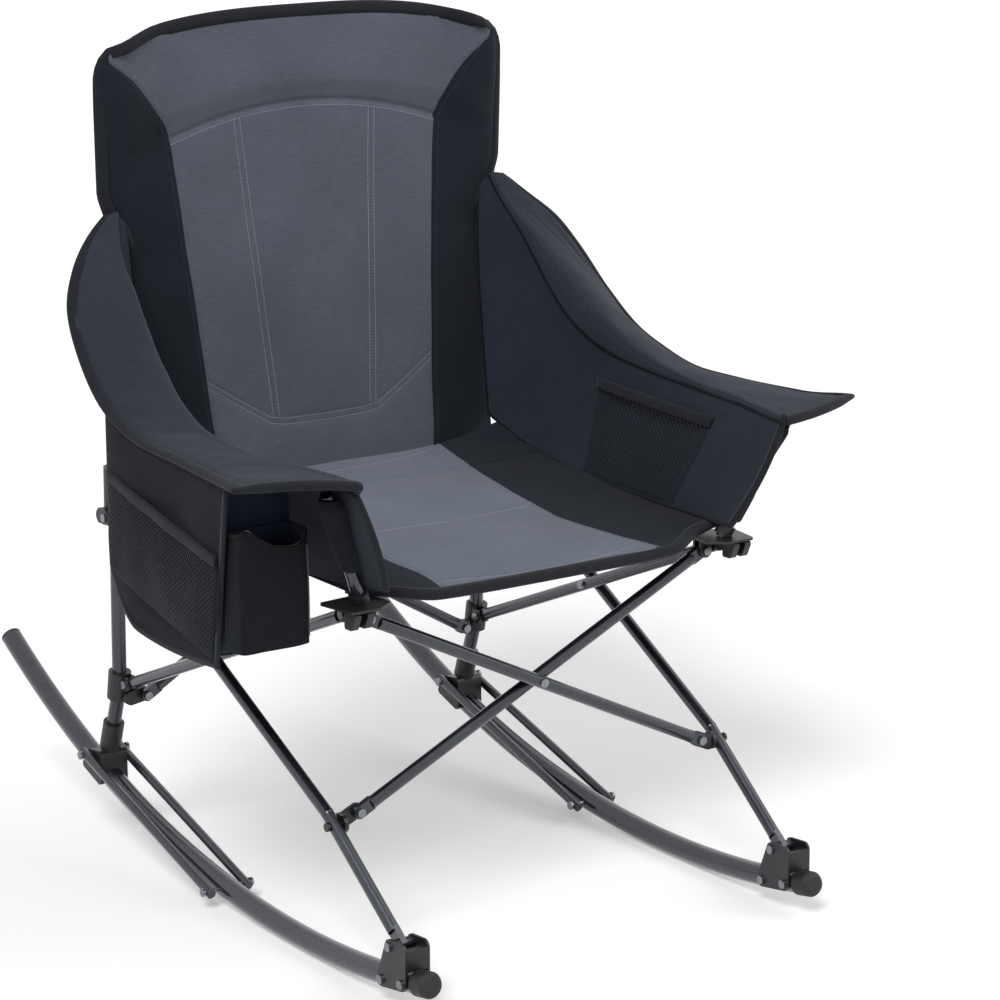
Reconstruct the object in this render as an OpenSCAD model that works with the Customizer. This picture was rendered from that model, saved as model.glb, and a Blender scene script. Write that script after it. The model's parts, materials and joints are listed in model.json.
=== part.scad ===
// Folding camp rocking chair: a tube frame that scissors from side to side and from front to back,
// two bent rocker tubes, and a padded fabric seat, back and arms.
// x runs across the chair, -y points to the front and z is up. The rockers touch the floor at y = 0.

/* [Rockers] */
// Distance between the centre lines of the two rocker tubes
track = 571; // [540:1:620]
// Bend radius of a rocker's centre line
rocker_bend_r = 1455; // [1350:5:1600]
// Outside diameter of a rocker tube
rocker_d = 28; // [25:0.5:29]
// Wall of a rocker tube
rocker_wall = 1.5; // [1:0.1:2.5]
// Reach of a rocker tube in front of the floor contact
rocker_front = 277; // [276:1:320]
// Reach of a rocker tube behind the floor contact
rocker_rear = 738; // [600:1:780]
// Length of the rubber cap on a rocker's front end
cap_len = 26; // [18:1:36]

/* [Frame tubes] */
// Outside diameter of the rear posts
post_d = 19; // [17:0.5:20]
// Outside diameter of legs, rails, cross tubes and arm posts
tube_d = 16; // [14:0.5:17]
// Outside diameter of the stay bars beside the rockers
stay_d = 12; // [10:0.5:12.5]
// Wall of the frame tubes
tube_wall = 1.2; // [0.9:0.1:1.8]
// Height of a rear post's top end
post_top_z = 1034; // [980:1:1080]
// Forward lean of a rear post, in degrees
post_lean = 1.25; // [0.8:0.05:1.6]

/* [Side scissor] */
// Height of the bolt where a leg crosses its side rail
cross_z = 327; // [318:1:336]
// Distance of that bolt behind the floor contact
cross_y = 172; // [164:1:180]
// Fall of a side rail towards the rear, in degrees
rail_slope = 22.3; // [21.5:0.1:23]
// Rise of a leg towards the rear, in degrees
leg_slope = 28.2; // [27.4:0.1:29]
// Distance of the rail and leg pivots in front of a rear post's centre line
pivot_lead = 18.5; // [18:0.5:20]
// Reach of a side rail from the cross bolt to its front pivot
rail_reach = 309; // [300:1:318]
// Reach of a leg from the cross bolt to its bend
leg_reach = 286; // [276:1:296]

/* [Bolts] */
// Diameter of the pivot bolts
bolt_d = 6; // [4:0.5:7]
// Diameter of the bolt heads and nuts
bolt_head_d = 11; // [9:0.5:13]
// Height of the bolt heads and nuts
bolt_head_h = 3.5; // [2.5:0.1:5]
// Radial play between a pivot bolt and its hole
pivot_play = 0.06; // [0.03:0.01:0.1]

/* [Fittings] */
// Wall of the hub collars
hub_wall = 4.5; // [3.5:0.1:5]
// Radial play of a sliding hub on its post
slide_play = 2.6; // [2.4:0.1:3]
// Height of a lower hub
lower_hub_h = 38; // [30:1:44]
// Height of a sliding hub
upper_hub_h = 76; // [70:1:84]
// Thickness of the hub ears and bracket plates
ear_t = 3.5; // [2.5:0.1:4.5]
// Side gap between an ear and the flattened tube end that it holds
ear_gap = 0.4; // [0.2:0.05:0.6]
// Thickness of a flattened tube end
tongue_t = 8; // [6:0.5:9]

/* [Fabric] */
// Thickness of the padded back
back_t = 14; // [9:1:16]
// Thickness of the seat
seat_t = 10; // [7:1:12]
// Thickness of the padded arms
arm_t = 12; // [8:1:14]
// Thickness of a side panel
side_t = 6; // [4:0.5:7]
// Thickness of the outer panel, the pockets and the pouch walls
panel_t = 3; // [2:0.5:4]
// Clearance of a fabric piece from its neighbours
soft_gap = 0.4; // [0.3:0.1:0.6]
// Width of the zip pouch
pouch_w = 92; // [76:1:93]
// Depth of the zip pouch from front to back
pouch_depth = 44; // [30:1:52]

/* [Hidden] */
$fn = 48;
tiny = 0.01;
bend_swell = 0.3;

// radii and planes
rocker_r = rocker_d / 2;
tube_r = tube_d / 2;
post_r = post_d / 2;
stay_r = stay_d / 2;
bolt_r = bolt_d / 2;
hole_r = bolt_r + pivot_play;
head_r = bolt_head_d / 2;
rocker_x = track / 2;
post_x = rocker_x - 1.5;
rail_x = rocker_x - 6.5;
washer_gap = 1.5;
leg_cross_x = rail_x + tube_d + washer_gap;

// rockers
rocker_mid_z = rocker_bend_r + rocker_r;
function rocker_z(y) = rocker_mid_z - sqrt(pow(rocker_bend_r, 2) - y * y);
function rocker_turn(y) = asin(y / rocker_bend_r);
foot_y = -229.5;
foot_rise = 42.5;
leg_foot = [foot_y, rocker_z(foot_y) + foot_rise];
foot_bolt_y = [-254, -212];
foot_plate_x = rocker_r + 0.2;
plate_t = 3;
stay_low_y = 167;
stay_low = [stay_low_y, rocker_z(stay_low_y)];
stay_x = rocker_r + stay_r + 7;
socket_x = stay_x - stay_r - 1;

// rear posts
socket_y = 480;
socket_mid = [socket_y, rocker_z(socket_y)];
stay_top = socket_mid + [2, 23.5];
post_foot = socket_mid + [-18, 46];
post_bend = [435, 222];
function post_y(z) = post_bend[0] - (z - post_bend[1]) * tan(post_lean);
post_path = [
    [post_x, post_foot[0], post_foot[1]],
    [post_x, post_bend[0], post_bend[1]],
    [post_x, post_y(post_top_z), post_top_z]
];

// side scissor
cross_yz = [cross_y, cross_z];
rail_dir = [cos(rail_slope), -sin(rail_slope)];
leg_dir = [cos(leg_slope), sin(leg_slope)];
function to_post(dir) = (post_y(cross_z) - pivot_lead - cross_y) / (dir[0] + dir[1] * tan(post_lean));
rail_hub = cross_yz + rail_dir * to_post(rail_dir);
leg_hub = cross_yz + leg_dir * to_post(leg_dir);
rail_front = cross_yz - rail_dir * rail_reach;
leg_kink = cross_yz - leg_dir * leg_reach;
// angle that a side rail turns through as the chair folds
fold_end = 48;
function leg_x(y) = rocker_x + (y - foot_y) * (leg_cross_x - rocker_x) / (cross_y - foot_y);
leg_hub_x = leg_x(leg_hub[0]);
tongue_reach = 18;
ear_r = 9.5;
swivel_r = 11;
swivel_t = 5;
cross_ear_t = 8;
ear_x = tongue_t / 2 + ear_gap;

// cross tubes: their bolts run along y
cross_step = tube_d + 1;
rear_pin_x = post_x - post_r - hub_wall - tube_r - 3.5;
rear_low_z = post_bend[1] - 12;
rear_high_z = leg_hub[1] + 55;
rear_front_y = 409.5;
rear_y = [rear_front_y, rear_front_y + cross_step];
front_pin_x = rail_x - 23;
front_high_z = rail_front[1] - 8.5;
front_high_y = [rail_front[0] - 4, rail_front[0] - 4 + cross_step];
low_leg_dir = unit(leg_kink - leg_foot);
swivel = leg_kink - low_leg_dir * 18;
front_low_x = rocker_x - 34;
front_low_y = [swivel[0] - 12, swivel[0] - 12 + cross_step];
front_low_z = swivel[1] + 8;
rivet_gap = 0.3;

// corner brackets and arm posts
flange_z = rail_front[1] + 9;
flange_t = 3;
flange_top = flange_z + flange_t;
arm_post_low = [rail_x - 12, rail_front[0] - 10, flange_top - 0.5];
arm_post_high = [rocker_x + 49.5, rail_front[0] - 46, flange_top + 147];
arm_post_dir = unit(arm_post_high - arm_post_low);
arm_z = arm_post_high[2] + 6.5 + arm_t / 2;

steel = [0.30, 0.31, 0.33];
black_plastic = [0.10, 0.10, 0.11];
bright = [0.75, 0.76, 0.78];
grey_cloth = [0.36, 0.38, 0.41];
navy_cloth = [0.12, 0.14, 0.18];
arm_cloth = [0.16, 0.17, 0.20];
black_net = [0.06, 0.06, 0.07];

// ---- functions ----
function unit(v) = v / norm(v);
function mix(a, b, t) = a + (b - a) * t;
function clamp01(t) = min(1, max(0, t));
function ease(t) = let (c = clamp01(t)) c * c * (3 - 2 * c);
function dip(x, width) = exp(-pow(x / width, 2));
// a smooth curve through points, at t from 0 to 1
function through(points, t) =
    let (n = len(points) - 1, s = min(n - tiny / 10, max(0, t * n)), i = floor(s), k = s - i,
         a = points[max(0, i - 1)], b = points[i], c = points[min(n, i + 1)], d = points[min(n, i + 2)])
    0.5 * (2 * b + (c - a) * k + (2 * a - 5 * b + 4 * c - d) * k * k + (3 * b - a - 3 * c + d) * k * k * k);
// a fabric point beside the frame: x from the rocker's plane, and y and z that follow the front corner
front_move = rail_front - [-114, 444];
function beside(x, y, z) =
    let (k = clamp01((400 - y) / 514)) [rocker_x + x, y + front_move[0] * k, z + front_move[1] * k];

// ---- shape helpers ----
module on_side(side) {
    if (side < 0) mirror([1, 0, 0]) children();
    else children();
}

// a round bar from a to b
module bar(a, b, r) {
    v = b - a;
    translate(a) rotate([0, acos(v[2] / norm(v)), atan2(v[1], v[0])]) cylinder(h = norm(v), r = r);
}

// a round pin along x or along y
module pin_x(yz, x0, x1, r) {
    translate([min(x0, x1), yz[0], yz[1]]) rotate([0, 90, 0]) cylinder(h = abs(x1 - x0), r = r);
}

module pin_y(xz, y0, y1, r) {
    translate([xz[0], max(y0, y1), xz[1]]) rotate([90, 0, 0]) cylinder(h = abs(y1 - y0), r = r);
}

// leans a shape that was drawn upright, so that it lies square to the rear posts
module with_posts() {
    foot = [0, rear_front_y, rear_low_z];
    translate(foot) rotate([post_lean, 0, 0]) translate(-foot) children();
}

// a bar along points: each kink is a ball that stands a little proud of the bars that meet in it
module bent_bar(points, r) {
    n = len(points) - 1;
    for (i = [0:n - 1]) bar(points[i], points[i + 1], r);
    if (n > 1) for (i = [1:n - 1]) translate(points[i]) sphere(r = r + bend_swell);
}

// a tube along points: the bar less its bore, which runs out of both ends
module bent_tube(points, r, wall) {
    n = len(points) - 1;
    first = points[0] - unit(points[1] - points[0]);
    last = points[n] + unit(points[n] - points[n - 1]);
    inner = n > 1 ? [for (i = [1:n - 1]) points[i]] : [];
    difference() {
        bent_bar(points, r);
        bent_bar(concat([first], inner, [last]), r - wall);
    }
}

// a flattened tube end on a bolt along x: a round tongue that reaches back along the tube
module tongue_x(yz, towards, x) {
    dir = unit(towards - yz);
    translate([x, yz[0], yz[1]]) rotate([atan2(dir[1], dir[0]), 0, 0]) {
        rotate([0, 90, 0]) cylinder(h = tongue_t, r = tube_r, center = true);
        translate([-tongue_t / 2, 0, -tube_r]) cube([tongue_t, tongue_reach + 3, tube_d]);
    }
}

// the same on a bolt along y
module tongue_y(xz, towards, y) {
    dir = unit(towards - xz);
    translate([xz[0], y, xz[1]]) rotate([0, -atan2(dir[1], dir[0]), 0]) {
        rotate([90, 0, 0]) cylinder(h = tongue_t, r = tube_r, center = true);
        translate([0, -tongue_t / 2, -tube_r]) cube([tongue_reach + 3, tongue_t, tube_d]);
    }
}

// a plate with round corners over a convex list of points, anticlockwise
module round_plate(points, r, h) {
    n = len(points);
    edges = [for (i = [0:n - 1])
        let (a = points[i], b = points[(i + 1) % n], d = unit(b - a), out = [d[1], -d[0]] * r)
        each [a + out, b + out]];
    linear_extrude(h) {
        polygon(edges);
        for (p = points) translate(p) circle(r = r);
    }
}

// the same plate stood up: across x from x0, or across y from y0
module plate_x(yz_points, r, x0, h) {
    translate([x0, 0, 0]) multmatrix([[0, 0, 1, 0], [1, 0, 0, 0], [0, 1, 0, 0], [0, 0, 0, 1]])
        round_plate(yz_points, r, h);
}

module plate_y(xz_points, r, y0, h) {
    translate([0, y0 + h, 0]) rotate([90, 0, 0]) round_plate(xz_points, r, h);
}

// a bolt with a head and a nut, along x or along y
module bolt_x(yz, x0, x1) {
    pin_x(yz, x0 - tiny, x1 + tiny, bolt_r);
    pin_x(yz, x0 - bolt_head_h, x0, head_r);
    pin_x(yz, x1, x1 + bolt_head_h, head_r);
}

module bolt_y(xz, y0, y1) {
    pin_y(xz, y0 - tiny, y1 + tiny, bolt_r);
    pin_y(xz, y0 - bolt_head_h, y0, head_r);
    pin_y(xz, y1, y1 + bolt_head_h, head_r);
}

// a closed cloth: f(u, v) is its middle surface and thick(u, v) its thickness
module cloth(f, thick, nu, nv) {
    e = 0.002;
    function normal(u, v) = unit(cross(f(min(1, u + e), v) - f(max(0, u - e), v),
                                       f(u, min(1, v + e)) - f(u, max(0, v - e))));
    function face(side) = [for (j = [0:nv]) for (i = [0:nu])
        let (u = i / nu, v = j / nv) f(u, v) + normal(u, v) * side * thick(u, v) / 2];
    row = nu + 1;
    count = row * (nv + 1);
    function quad(a, b, c, d) = [[a, c, b], [a, d, c]];
    polyhedron(points = concat(face(1), face(-1)), faces = [
        for (j = [0:nv - 1]) for (i = [0:nu - 1]) let (p = j * row + i)
            each concat(quad(p, p + 1, p + row + 1, p + row),
                        quad(count + p + row, count + p + row + 1, count + p + 1, count + p)),
        for (i = [0:nu - 1]) each quad(count + i, count + i + 1, i + 1, i),
        for (i = [0:nu - 1]) let (p = nv * row + i) each quad(p, p + 1, count + p + 1, count + p),
        for (j = [0:nv - 1]) let (p = j * row) each quad(p, p + row, count + p + row, count + p),
        for (j = [0:nv - 1]) let (p = j * row + nu) each quad(count + p, count + p + row, p + row, p)
    ], convexity = 6);
}

// ---- rear posts, and what stays on them ----
module post(side) {
    color(steel) on_side(side) bent_tube(post_path, post_r, tube_wall);
}

// a pair of ears on a bolt along x, each reaching back to a second point
module ear_pair(yz, x, back) {
    for (x0 = [x - ear_x - ear_t, x + ear_x]) plate_x([yz, back], ear_r, x0, ear_t);
}

// a collar on the post bend, ears in front for the side rail, and an inner ear for a cross tube
module lower_hub(side) {
    low_dir = unit(post_path[1] - post_path[0]);
    high_dir = unit(post_path[2] - post_path[1]);
    half = lower_hub_h / 2;
    collar = [post_path[1] - low_dir * half, post_path[1] + high_dir * half];
    shift = (post_path[1] - (collar[0] + collar[1]) / 2) / 2;
    ear_end = rail_x + ear_x + ear_t;
    notch_x = ear_x - ear_gap / 4;
    color(black_plastic) on_side(side) difference() {
        union() {
            bar(collar[0] + shift, collar[1] + shift, post_r + hub_wall + 1);
            ear_pair(rail_hub, rail_x, rail_hub + [14, 0]);
            with_posts() plate_y([[rear_pin_x, rear_low_z], [post_x - 6, rear_low_z - 3]], ear_r,
                rear_y[side < 0 ? 0 : 1] + ear_x, cross_ear_t);
        }
        bar(post_path[0], post_path[1], post_r + tiny);
        bar(post_path[1], post_path[2], post_r + 2 * tiny);
        translate(post_path[1]) sphere(r = post_r + 2 * bend_swell);
        pin_x(rail_hub, rail_x - 20, rail_x + 20, hole_r);
        pin_x(rail_hub, rail_x - notch_x, rail_x + notch_x, tube_r + 0.5);
        translate([rail_x - notch_x, rail_hub[0], rail_hub[1]]) rotate([180 - rail_slope - fold_end, 0, 0])
            translate([0, 0, -tube_r - 0.5]) cube([2 * notch_x, 40, tube_d + 1]);
        pin_x(rail_hub, ear_end, ear_end + bolt_head_h + 1, head_r + 0.4);
        with_posts() pin_y([rear_pin_x, rear_low_z], 380, 460, hole_r);
    }
}

module hub_bolts(side) {
    y = rear_y[side < 0 ? 0 : 1];
    color(bright) on_side(side) {
        bolt_x(rail_hub, rail_x - ear_x - ear_t, rail_x + ear_x + ear_t);
        with_posts() bolt_y([rear_pin_x, rear_low_z], y - tongue_t / 2 - 0.1, y + ear_x + cross_ear_t);
    }
}

// a saddle over the rocker, with a sleeve for the post's foot and a cross hole for the stay bolt
module rear_socket(side) {
    up = unit(post_bend - post_foot);
    low = post_foot - up * 14;
    high = post_foot + up * 26;
    slope = rocker_turn(socket_y);
    color(black_plastic) on_side(side) difference() {
        union() {
            bar([post_x, low[0], low[1]], [post_x, high[0], high[1]], post_r + hub_wall);
            plate_x([socket_mid + [-20, -8], socket_mid + [18, 5], stay_top, socket_mid + [-20, 26]],
                6, rocker_x - socket_x, 2 * socket_x);
        }
        bar([post_x, post_foot[0], post_foot[1]], [post_x, post_bend[0], post_bend[1]], post_r + tiny);
        translate([rocker_x, socket_mid[0], socket_mid[1]]) rotate([slope, 0, 0]) {
            rotate([90, 0, 0]) cylinder(h = 100, r = rocker_r + 0.6, center = true);
            translate([-rocker_r - 0.6, -50, -60]) cube([rocker_d + 1.2, 100, 60]);
        }
        pin_x(stay_top, rocker_x - 40, rocker_x + 40, hole_r);
    }
}

// ---- side rails, legs and the bolt between them ----
module side_rail(side) {
    start = rail_front + rail_dir * tongue_reach;
    end = rail_hub - rail_dir * tongue_reach;
    color(steel) on_side(side) difference() {
        union() {
            bent_tube([[rail_x, start[0], start[1]], [rail_x, end[0], end[1]]], tube_r, tube_wall);
            tongue_x(rail_front, rail_hub, rail_x);
            tongue_x(rail_hub, rail_front, rail_x);
        }
        for (p = [rail_front, cross_yz, rail_hub]) pin_x(p, rail_x - 20, rail_x + 20, hole_r);
    }
}

module cross_bolt(side) {
    color(bright) on_side(side) {
        bolt_x(cross_yz, rail_x - tube_r - 0.1, leg_cross_x + tube_r + 0.4);
        pin_x(cross_yz, rail_x + tube_r + 0.1, rail_x + tube_r + washer_gap - 0.3, head_r);
    }
}

module leg(side) {
    start = leg_foot + low_leg_dir * tongue_reach;
    end = leg_hub - leg_dir * tongue_reach;
    path = [for (p = [start, leg_kink, end]) [leg_x(p[0]), p[0], p[1]]];
    color(steel) on_side(side) difference() {
        union() {
            bent_tube(path, tube_r, tube_wall);
            tongue_x(leg_foot, leg_kink, rocker_x);
            tongue_x(leg_hub, leg_kink, leg_hub_x);
        }
        for (p = [leg_foot, swivel, cross_yz, leg_hub]) pin_x(p, leg_x(p[0]) - 20, leg_x(p[0]) + 20, hole_r);
    }
}

// a block that swivels on its own stud through the leg, with an ear behind the low end of a cross tube
module leg_swivel(side) {
    inner_x = leg_x(swivel[0]) - tube_r - 0.5;
    outer_x = leg_x(swivel[0]) + tube_r + 0.5;
    ear_y = front_low_y[side < 0 ? 1 : 0] + ear_x;
    color(black_plastic) on_side(side) {
        pin_x(swivel, inner_x - 1, outer_x + 1, bolt_r);
        pin_x(swivel, outer_x, outer_x + bolt_head_h, head_r);
        pin_x(swivel, inner_x - swivel_t, inner_x, swivel_r);
        plate_y([[front_low_x, front_low_z], [inner_x - swivel_r, swivel[1]]], ear_r, ear_y, swivel_t);
        translate([inner_x - swivel_r, ear_y, swivel[1] - ear_r]) cube([swivel_r, swivel_t, 2 * ear_r]);
    }
}

// ---- front corner brackets and arm posts ----
module corner_bracket(side) {
    cross_y0 = front_high_y[side < 0 ? 0 : 1];
    c = rail_front;
    color(black_plastic) on_side(side) difference() {
        union() {
            translate([0, 0, flange_z]) round_plate([
                [rail_x + 13, c[0] - 34], [rail_x + 21, c[0] + 17], [rail_x - 36, c[0] + 22],
                [rail_x - 40, c[0] - 20], [rail_x - 20, c[0] - 34]
            ], 5, flange_t);
            ear_pair(c, rail_x, [c[0], flange_z - ear_r + 1]);
            for (x0 = [rail_x - ear_x - ear_t, rail_x + ear_x])
                translate([x0, c[0] - ear_r, c[1]]) cube([ear_t, 2 * ear_r, flange_z - c[1] + 1]);
            for (x0 = [rail_x - 13, rail_x + 5])
                plate_x([[c[0] - 33, c[1] + 4], [c[0] - 27, c[1] - 9], [c[0] - 18, c[1] - 9], [c[0] - 18, c[1] + 4]],
                    4, x0, 9);
            translate([rail_x - 13, c[0] - 20, c[1] - 13]) cube([27, 5, flange_z - c[1] + 14]);
            for (y0 = [cross_y0 - ear_x - ear_t, cross_y0 + ear_x])
                plate_y([[front_pin_x, front_high_z], [front_pin_x, flange_z - 8]], 9, y0, ear_t);
            bar(arm_post_low + arm_post_dir * 3.3, arm_post_low + arm_post_dir * 17, tube_r + 3.5);
        }
        bar(arm_post_low, arm_post_high, tube_r + tiny);
        pin_x(c, rail_x - 20, rail_x + 20, hole_r);
        pin_y([front_pin_x, front_high_z], c[0] - 40, c[0] + 40, hole_r);
    }
}

module corner_bolts(side) {
    y = front_high_y[side < 0 ? 0 : 1];
    color(bright) on_side(side) {
        bolt_x(rail_front, rail_x - ear_x - ear_t, rail_x + ear_x + ear_t);
        bolt_y([front_pin_x, front_high_z], y - ear_x - ear_t, y + ear_x + ear_t);
    }
}

module arm_post(side) {
    color(steel) on_side(side) bent_tube([arm_post_low, arm_post_high], tube_r, tube_wall);
}

// ---- rockers and their stays ----
// the rocker's arc as a bar of radius r, between two distances from the floor contact
module rocker_arc(y0, y1, r) {
    translate([rocker_x, 0, rocker_mid_z]) multmatrix([[0, 0, 1, 0], [0, 1, 0, 0], [-1, 0, 0, 0], [0, 0, 0, 1]])
        rotate([0, 0, rocker_turn(y0)])
            rotate_extrude(angle = rocker_turn(y1) - rocker_turn(y0), $fn = 1080)
                translate([rocker_bend_r, 0]) circle(r = r, $fn = 48);
}

module rocker(side) {
    color(steel) on_side(side) difference() {
        rocker_arc(-rocker_front, rocker_rear, rocker_r);
        rocker_arc(-rocker_front - 2, rocker_rear + 2, rocker_r - rocker_wall);
        for (y = [foot_bolt_y[0], foot_bolt_y[1], stay_low_y])
            pin_x([y, rocker_z(y)], rocker_x - 20, rocker_x + 20, hole_r);
    }
}

// places a shape at the rocker's end, with its z axis along the tube and out of it
module at_rocker_end(y) {
    outward = y < 0 ? 90 : -90;
    translate([rocker_x, y, rocker_z(y)]) rotate([rocker_turn(y) + outward, 0, 0]) children();
}

module rocker_caps(side) {
    grip = 10;
    color(black_plastic) on_side(side) {
        at_rocker_end(-rocker_front) difference() {
            translate([0, 0, -grip]) rotate_extrude() polygon([
                [0, 0], [rocker_r + 2, 0], [rocker_r + 2, cap_len - 5], [rocker_r, cap_len - 1.5],
                [rocker_r - 4, cap_len], [0, cap_len]
            ]);
            translate([0, 0, -grip - 1]) cylinder(h = grip + 1, r = rocker_r + 0.05);
        }
        at_rocker_end(rocker_rear) {
            translate([0, 0, 0.05]) cylinder(h = 3, r = rocker_r);
            translate([0, 0, -12]) cylinder(h = 13, r = rocker_r - rocker_wall - 0.1);
        }
    }
}

module foot_bracket(side) {
    corners = [
        [foot_bolt_y[1], rocker_z(foot_bolt_y[1])], leg_foot,
        [foot_bolt_y[0], leg_foot[1] + 2], [foot_bolt_y[0], rocker_z(foot_bolt_y[0])]
    ];
    web_y = foot_bolt_y[0] - 9;
    color(steel) on_side(side) difference() {
        union() {
            for (x0 = [rocker_x - foot_plate_x - plate_t, rocker_x + foot_plate_x]) plate_x(corners, 9, x0, plate_t);
            translate([rocker_x - foot_plate_x - 1, web_y, rocker_z(foot_bolt_y[0]) + rocker_r + 2])
                cube([2 * foot_plate_x + 2, plate_t, foot_rise - rocker_r - 2]);
            pin_x(leg_foot, rocker_x - foot_plate_x - 1, rocker_x - ear_x, 7);
            pin_x(leg_foot, rocker_x + ear_x, rocker_x + foot_plate_x + 1, 7);
        }
        for (p = [corners[0], corners[1], corners[3]]) pin_x(p, rocker_x - 30, rocker_x + 30, hole_r);
    }
}

module rocker_bolts(side) {
    reach = foot_plate_x + plate_t;
    color(bright) on_side(side) {
        for (p = [leg_foot, for (y = foot_bolt_y) [y, rocker_z(y)]]) bolt_x(p, rocker_x - reach, rocker_x + reach);
        pin_x(stay_low, rocker_x - stay_x + stay_r + 0.5, rocker_x + stay_x - stay_r - 0.5, bolt_r);
    }
}

module stay_bars(side) {
    along = unit(stay_low - stay_top) * 8;
    from = stay_top - along;
    to = stay_low + along;
    color(steel) on_side(side) difference() {
        for (x = [rocker_x - stay_x, rocker_x + stay_x]) bar([x, from[0], from[1]], [x, to[0], to[1]], stay_r);
        for (p = [stay_top, stay_low]) pin_x(p, rocker_x - 50, rocker_x + 50, hole_r);
    }
}

// one long bolt through the saddle, and a short bolt in the low end of each bar
module stay_bolts(side) {
    outside = stay_x + stay_r;
    color(bright) on_side(side) {
        bolt_x(stay_top, rocker_x - outside, rocker_x + outside);
        for (s = [-1, 1]) {
            pin_x(stay_low, rocker_x + s * (stay_x - stay_r), rocker_x + s * (outside + 1), bolt_r);
            pin_x(stay_low, rocker_x + s * outside, rocker_x + s * (outside + bolt_head_h), head_r);
        }
    }
}

// ---- sliding hubs ----
upper_hub_z = leg_hub[1] - 15;

module upper_hub(side) {
    bore_r = post_r + slide_play;
    lean = [0, -tan(post_lean), 1];
    base = [post_x, post_y(upper_hub_z), upper_hub_z];
    back = leg_hub[0] + tube_r + 0.8;
    open_end = side < 0 ? 4.5 : 0;
    color(black_plastic) on_side(side) difference() {
        union() {
            bar(base, base + lean * upper_hub_h, bore_r + hub_wall - 1);
            ear_pair(leg_hub, leg_hub_x, leg_hub + [14, 0]);
            translate([leg_hub_x - ear_x - 1, back, leg_hub[1] - ear_r])
                cube([2 * ear_x + ear_t + 1, 10, 2 * ear_r]);
            with_posts() plate_y([[rear_pin_x + open_end, rear_high_z], [post_x - 5, rear_high_z - 6]],
                ear_r - open_end, side < 0 ? rear_y[1] - ear_x - cross_ear_t : rear_y[0] + ear_x, cross_ear_t);
        }
        bar(base - lean, base + lean * (upper_hub_h + 10), bore_r);
        pin_x(leg_hub, leg_hub_x - 12, leg_hub_x + 12, hole_r);
        if (side > 0) with_posts() pin_y([rear_pin_x, rear_high_z], 380, 460, hole_r);
    }
}

module upper_hub_bolts(side) {
    color(bright) on_side(side) {
        outer = leg_hub_x + ear_x + ear_t;
        pin_x(leg_hub, leg_hub_x - ear_x - ear_t + 0.5, outer + 1, bolt_r);
        pin_x(leg_hub, outer, outer + bolt_head_h, head_r);
        if (side > 0) with_posts()
            bolt_y([rear_pin_x, rear_high_z], rear_y[0] - tongue_t / 2 - 0.1, rear_y[0] + ear_x + cross_ear_t);
    }
}

// ---- cross tubes: their first end is the low one, and side is the side of that end ----
module cross_tube(side, low, high) {
    dir = unit(high - low);
    from = low + dir * tongue_reach;
    to = high - dir * tongue_reach;
    low_xz = [low[0], low[2]];
    high_xz = [high[0], high[2]];
    mid = (low + high) / 2;
    color(steel) on_side(side) difference() {
        union() {
            bent_tube([from, to], tube_r, tube_wall);
            tongue_y(low_xz, high_xz, low[1]);
            tongue_y(high_xz, low_xz, high[1]);
        }
        for (p = [low, mid, high]) pin_y([p[0], p[2]], p[1] - 20, p[1] + 20, hole_r);
    }
}

// half of the rivet where two cross tubes cross: it ends in the gap between them
module half_rivet(p, outward) {
    face = p[1] + outward * tube_r;
    xz = [p[0], p[2]];
    pin_y(xz, face + outward * 0.1, face + outward * (bolt_head_h - 1), head_r);
    pin_y(xz, p[1] - outward * (tube_r + (cross_step - tube_d) / 2 - rivet_gap / 2), face + outward, bolt_r);
}

// a bolt that holds only the flattened tube end: its head is at outward, and its far face stops at the gap
module end_bolt(p, outward) {
    face = p[1] + outward * tongue_t / 2;
    pin_y([p[0], p[2]], face, face + outward * bolt_head_h, head_r);
    pin_y([p[0], p[2]], p[1] - outward * tongue_t / 2, face + outward, bolt_r);
}

function rear_low(y) = [rear_pin_x, y, rear_low_z];
function rear_high(y) = [-rear_pin_x, y, rear_high_z];
function front_low(i) = [front_low_x, front_low_y[i], front_low_z];
function front_high(i) = [-front_pin_x, front_high_y[i], front_high_z];

module rear_cross_tube(side, i) {
    with_posts() cross_tube(side, rear_low(rear_y[i]), rear_high(rear_y[i]));
}

module rear_bolts_a() {
    color(bright) on_side(-1) with_posts() half_rivet((rear_low(rear_y[0]) + rear_high(rear_y[0])) / 2, -1);
}

module rear_bolts_b() {
    color(bright) with_posts() {
        half_rivet((rear_low(rear_y[1]) + rear_high(rear_y[1])) / 2, 1);
        end_bolt(rear_high(rear_y[1]), 1);
    }
}

module front_bolts(i) {
    color(bright) on_side(i == 0 ? 1 : -1) {
        half_rivet((front_low(i) + front_high(i)) / 2, i == 0 ? -1 : 1);
        end_bolt(front_low(i), -1);
    }
}

// ---- padded back ----
back_low_z = 500;
back_top_z = post_top_z + 52;
back_drop = 36;
function back_half(v) =
    lookup(v, [[0, 168], [0.17, 172], [0.39, 182], [0.56, 197], [0.62, 201], [0.68, 245], [0.74, 276], [0.9, 291], [1, 286]])
    + rocker_x - 285.5;
function back_mid_y(v) =
    lookup(v, [[0, 364], [0.147, 379], [0.388, 394], [0.533, 404], [0.697, 414], [0.853, 420], [1, 424]]);
function back_point(u, v) =
    let (s = 2 * u - 1, x = s * back_half(v), top = back_top_z - back_drop * pow(abs(s), 3),
         z = mix(back_low_z, top, v), wrap = ease((v - 0.56) / 0.12) * ease((abs(s) - 0.7) / 0.25),
         edge_y = post_y(z) - post_r - back_t / 2 - soft_gap)
    [x, mix(back_mid_y(v), min(back_mid_y(v), edge_y), wrap), z];
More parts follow.
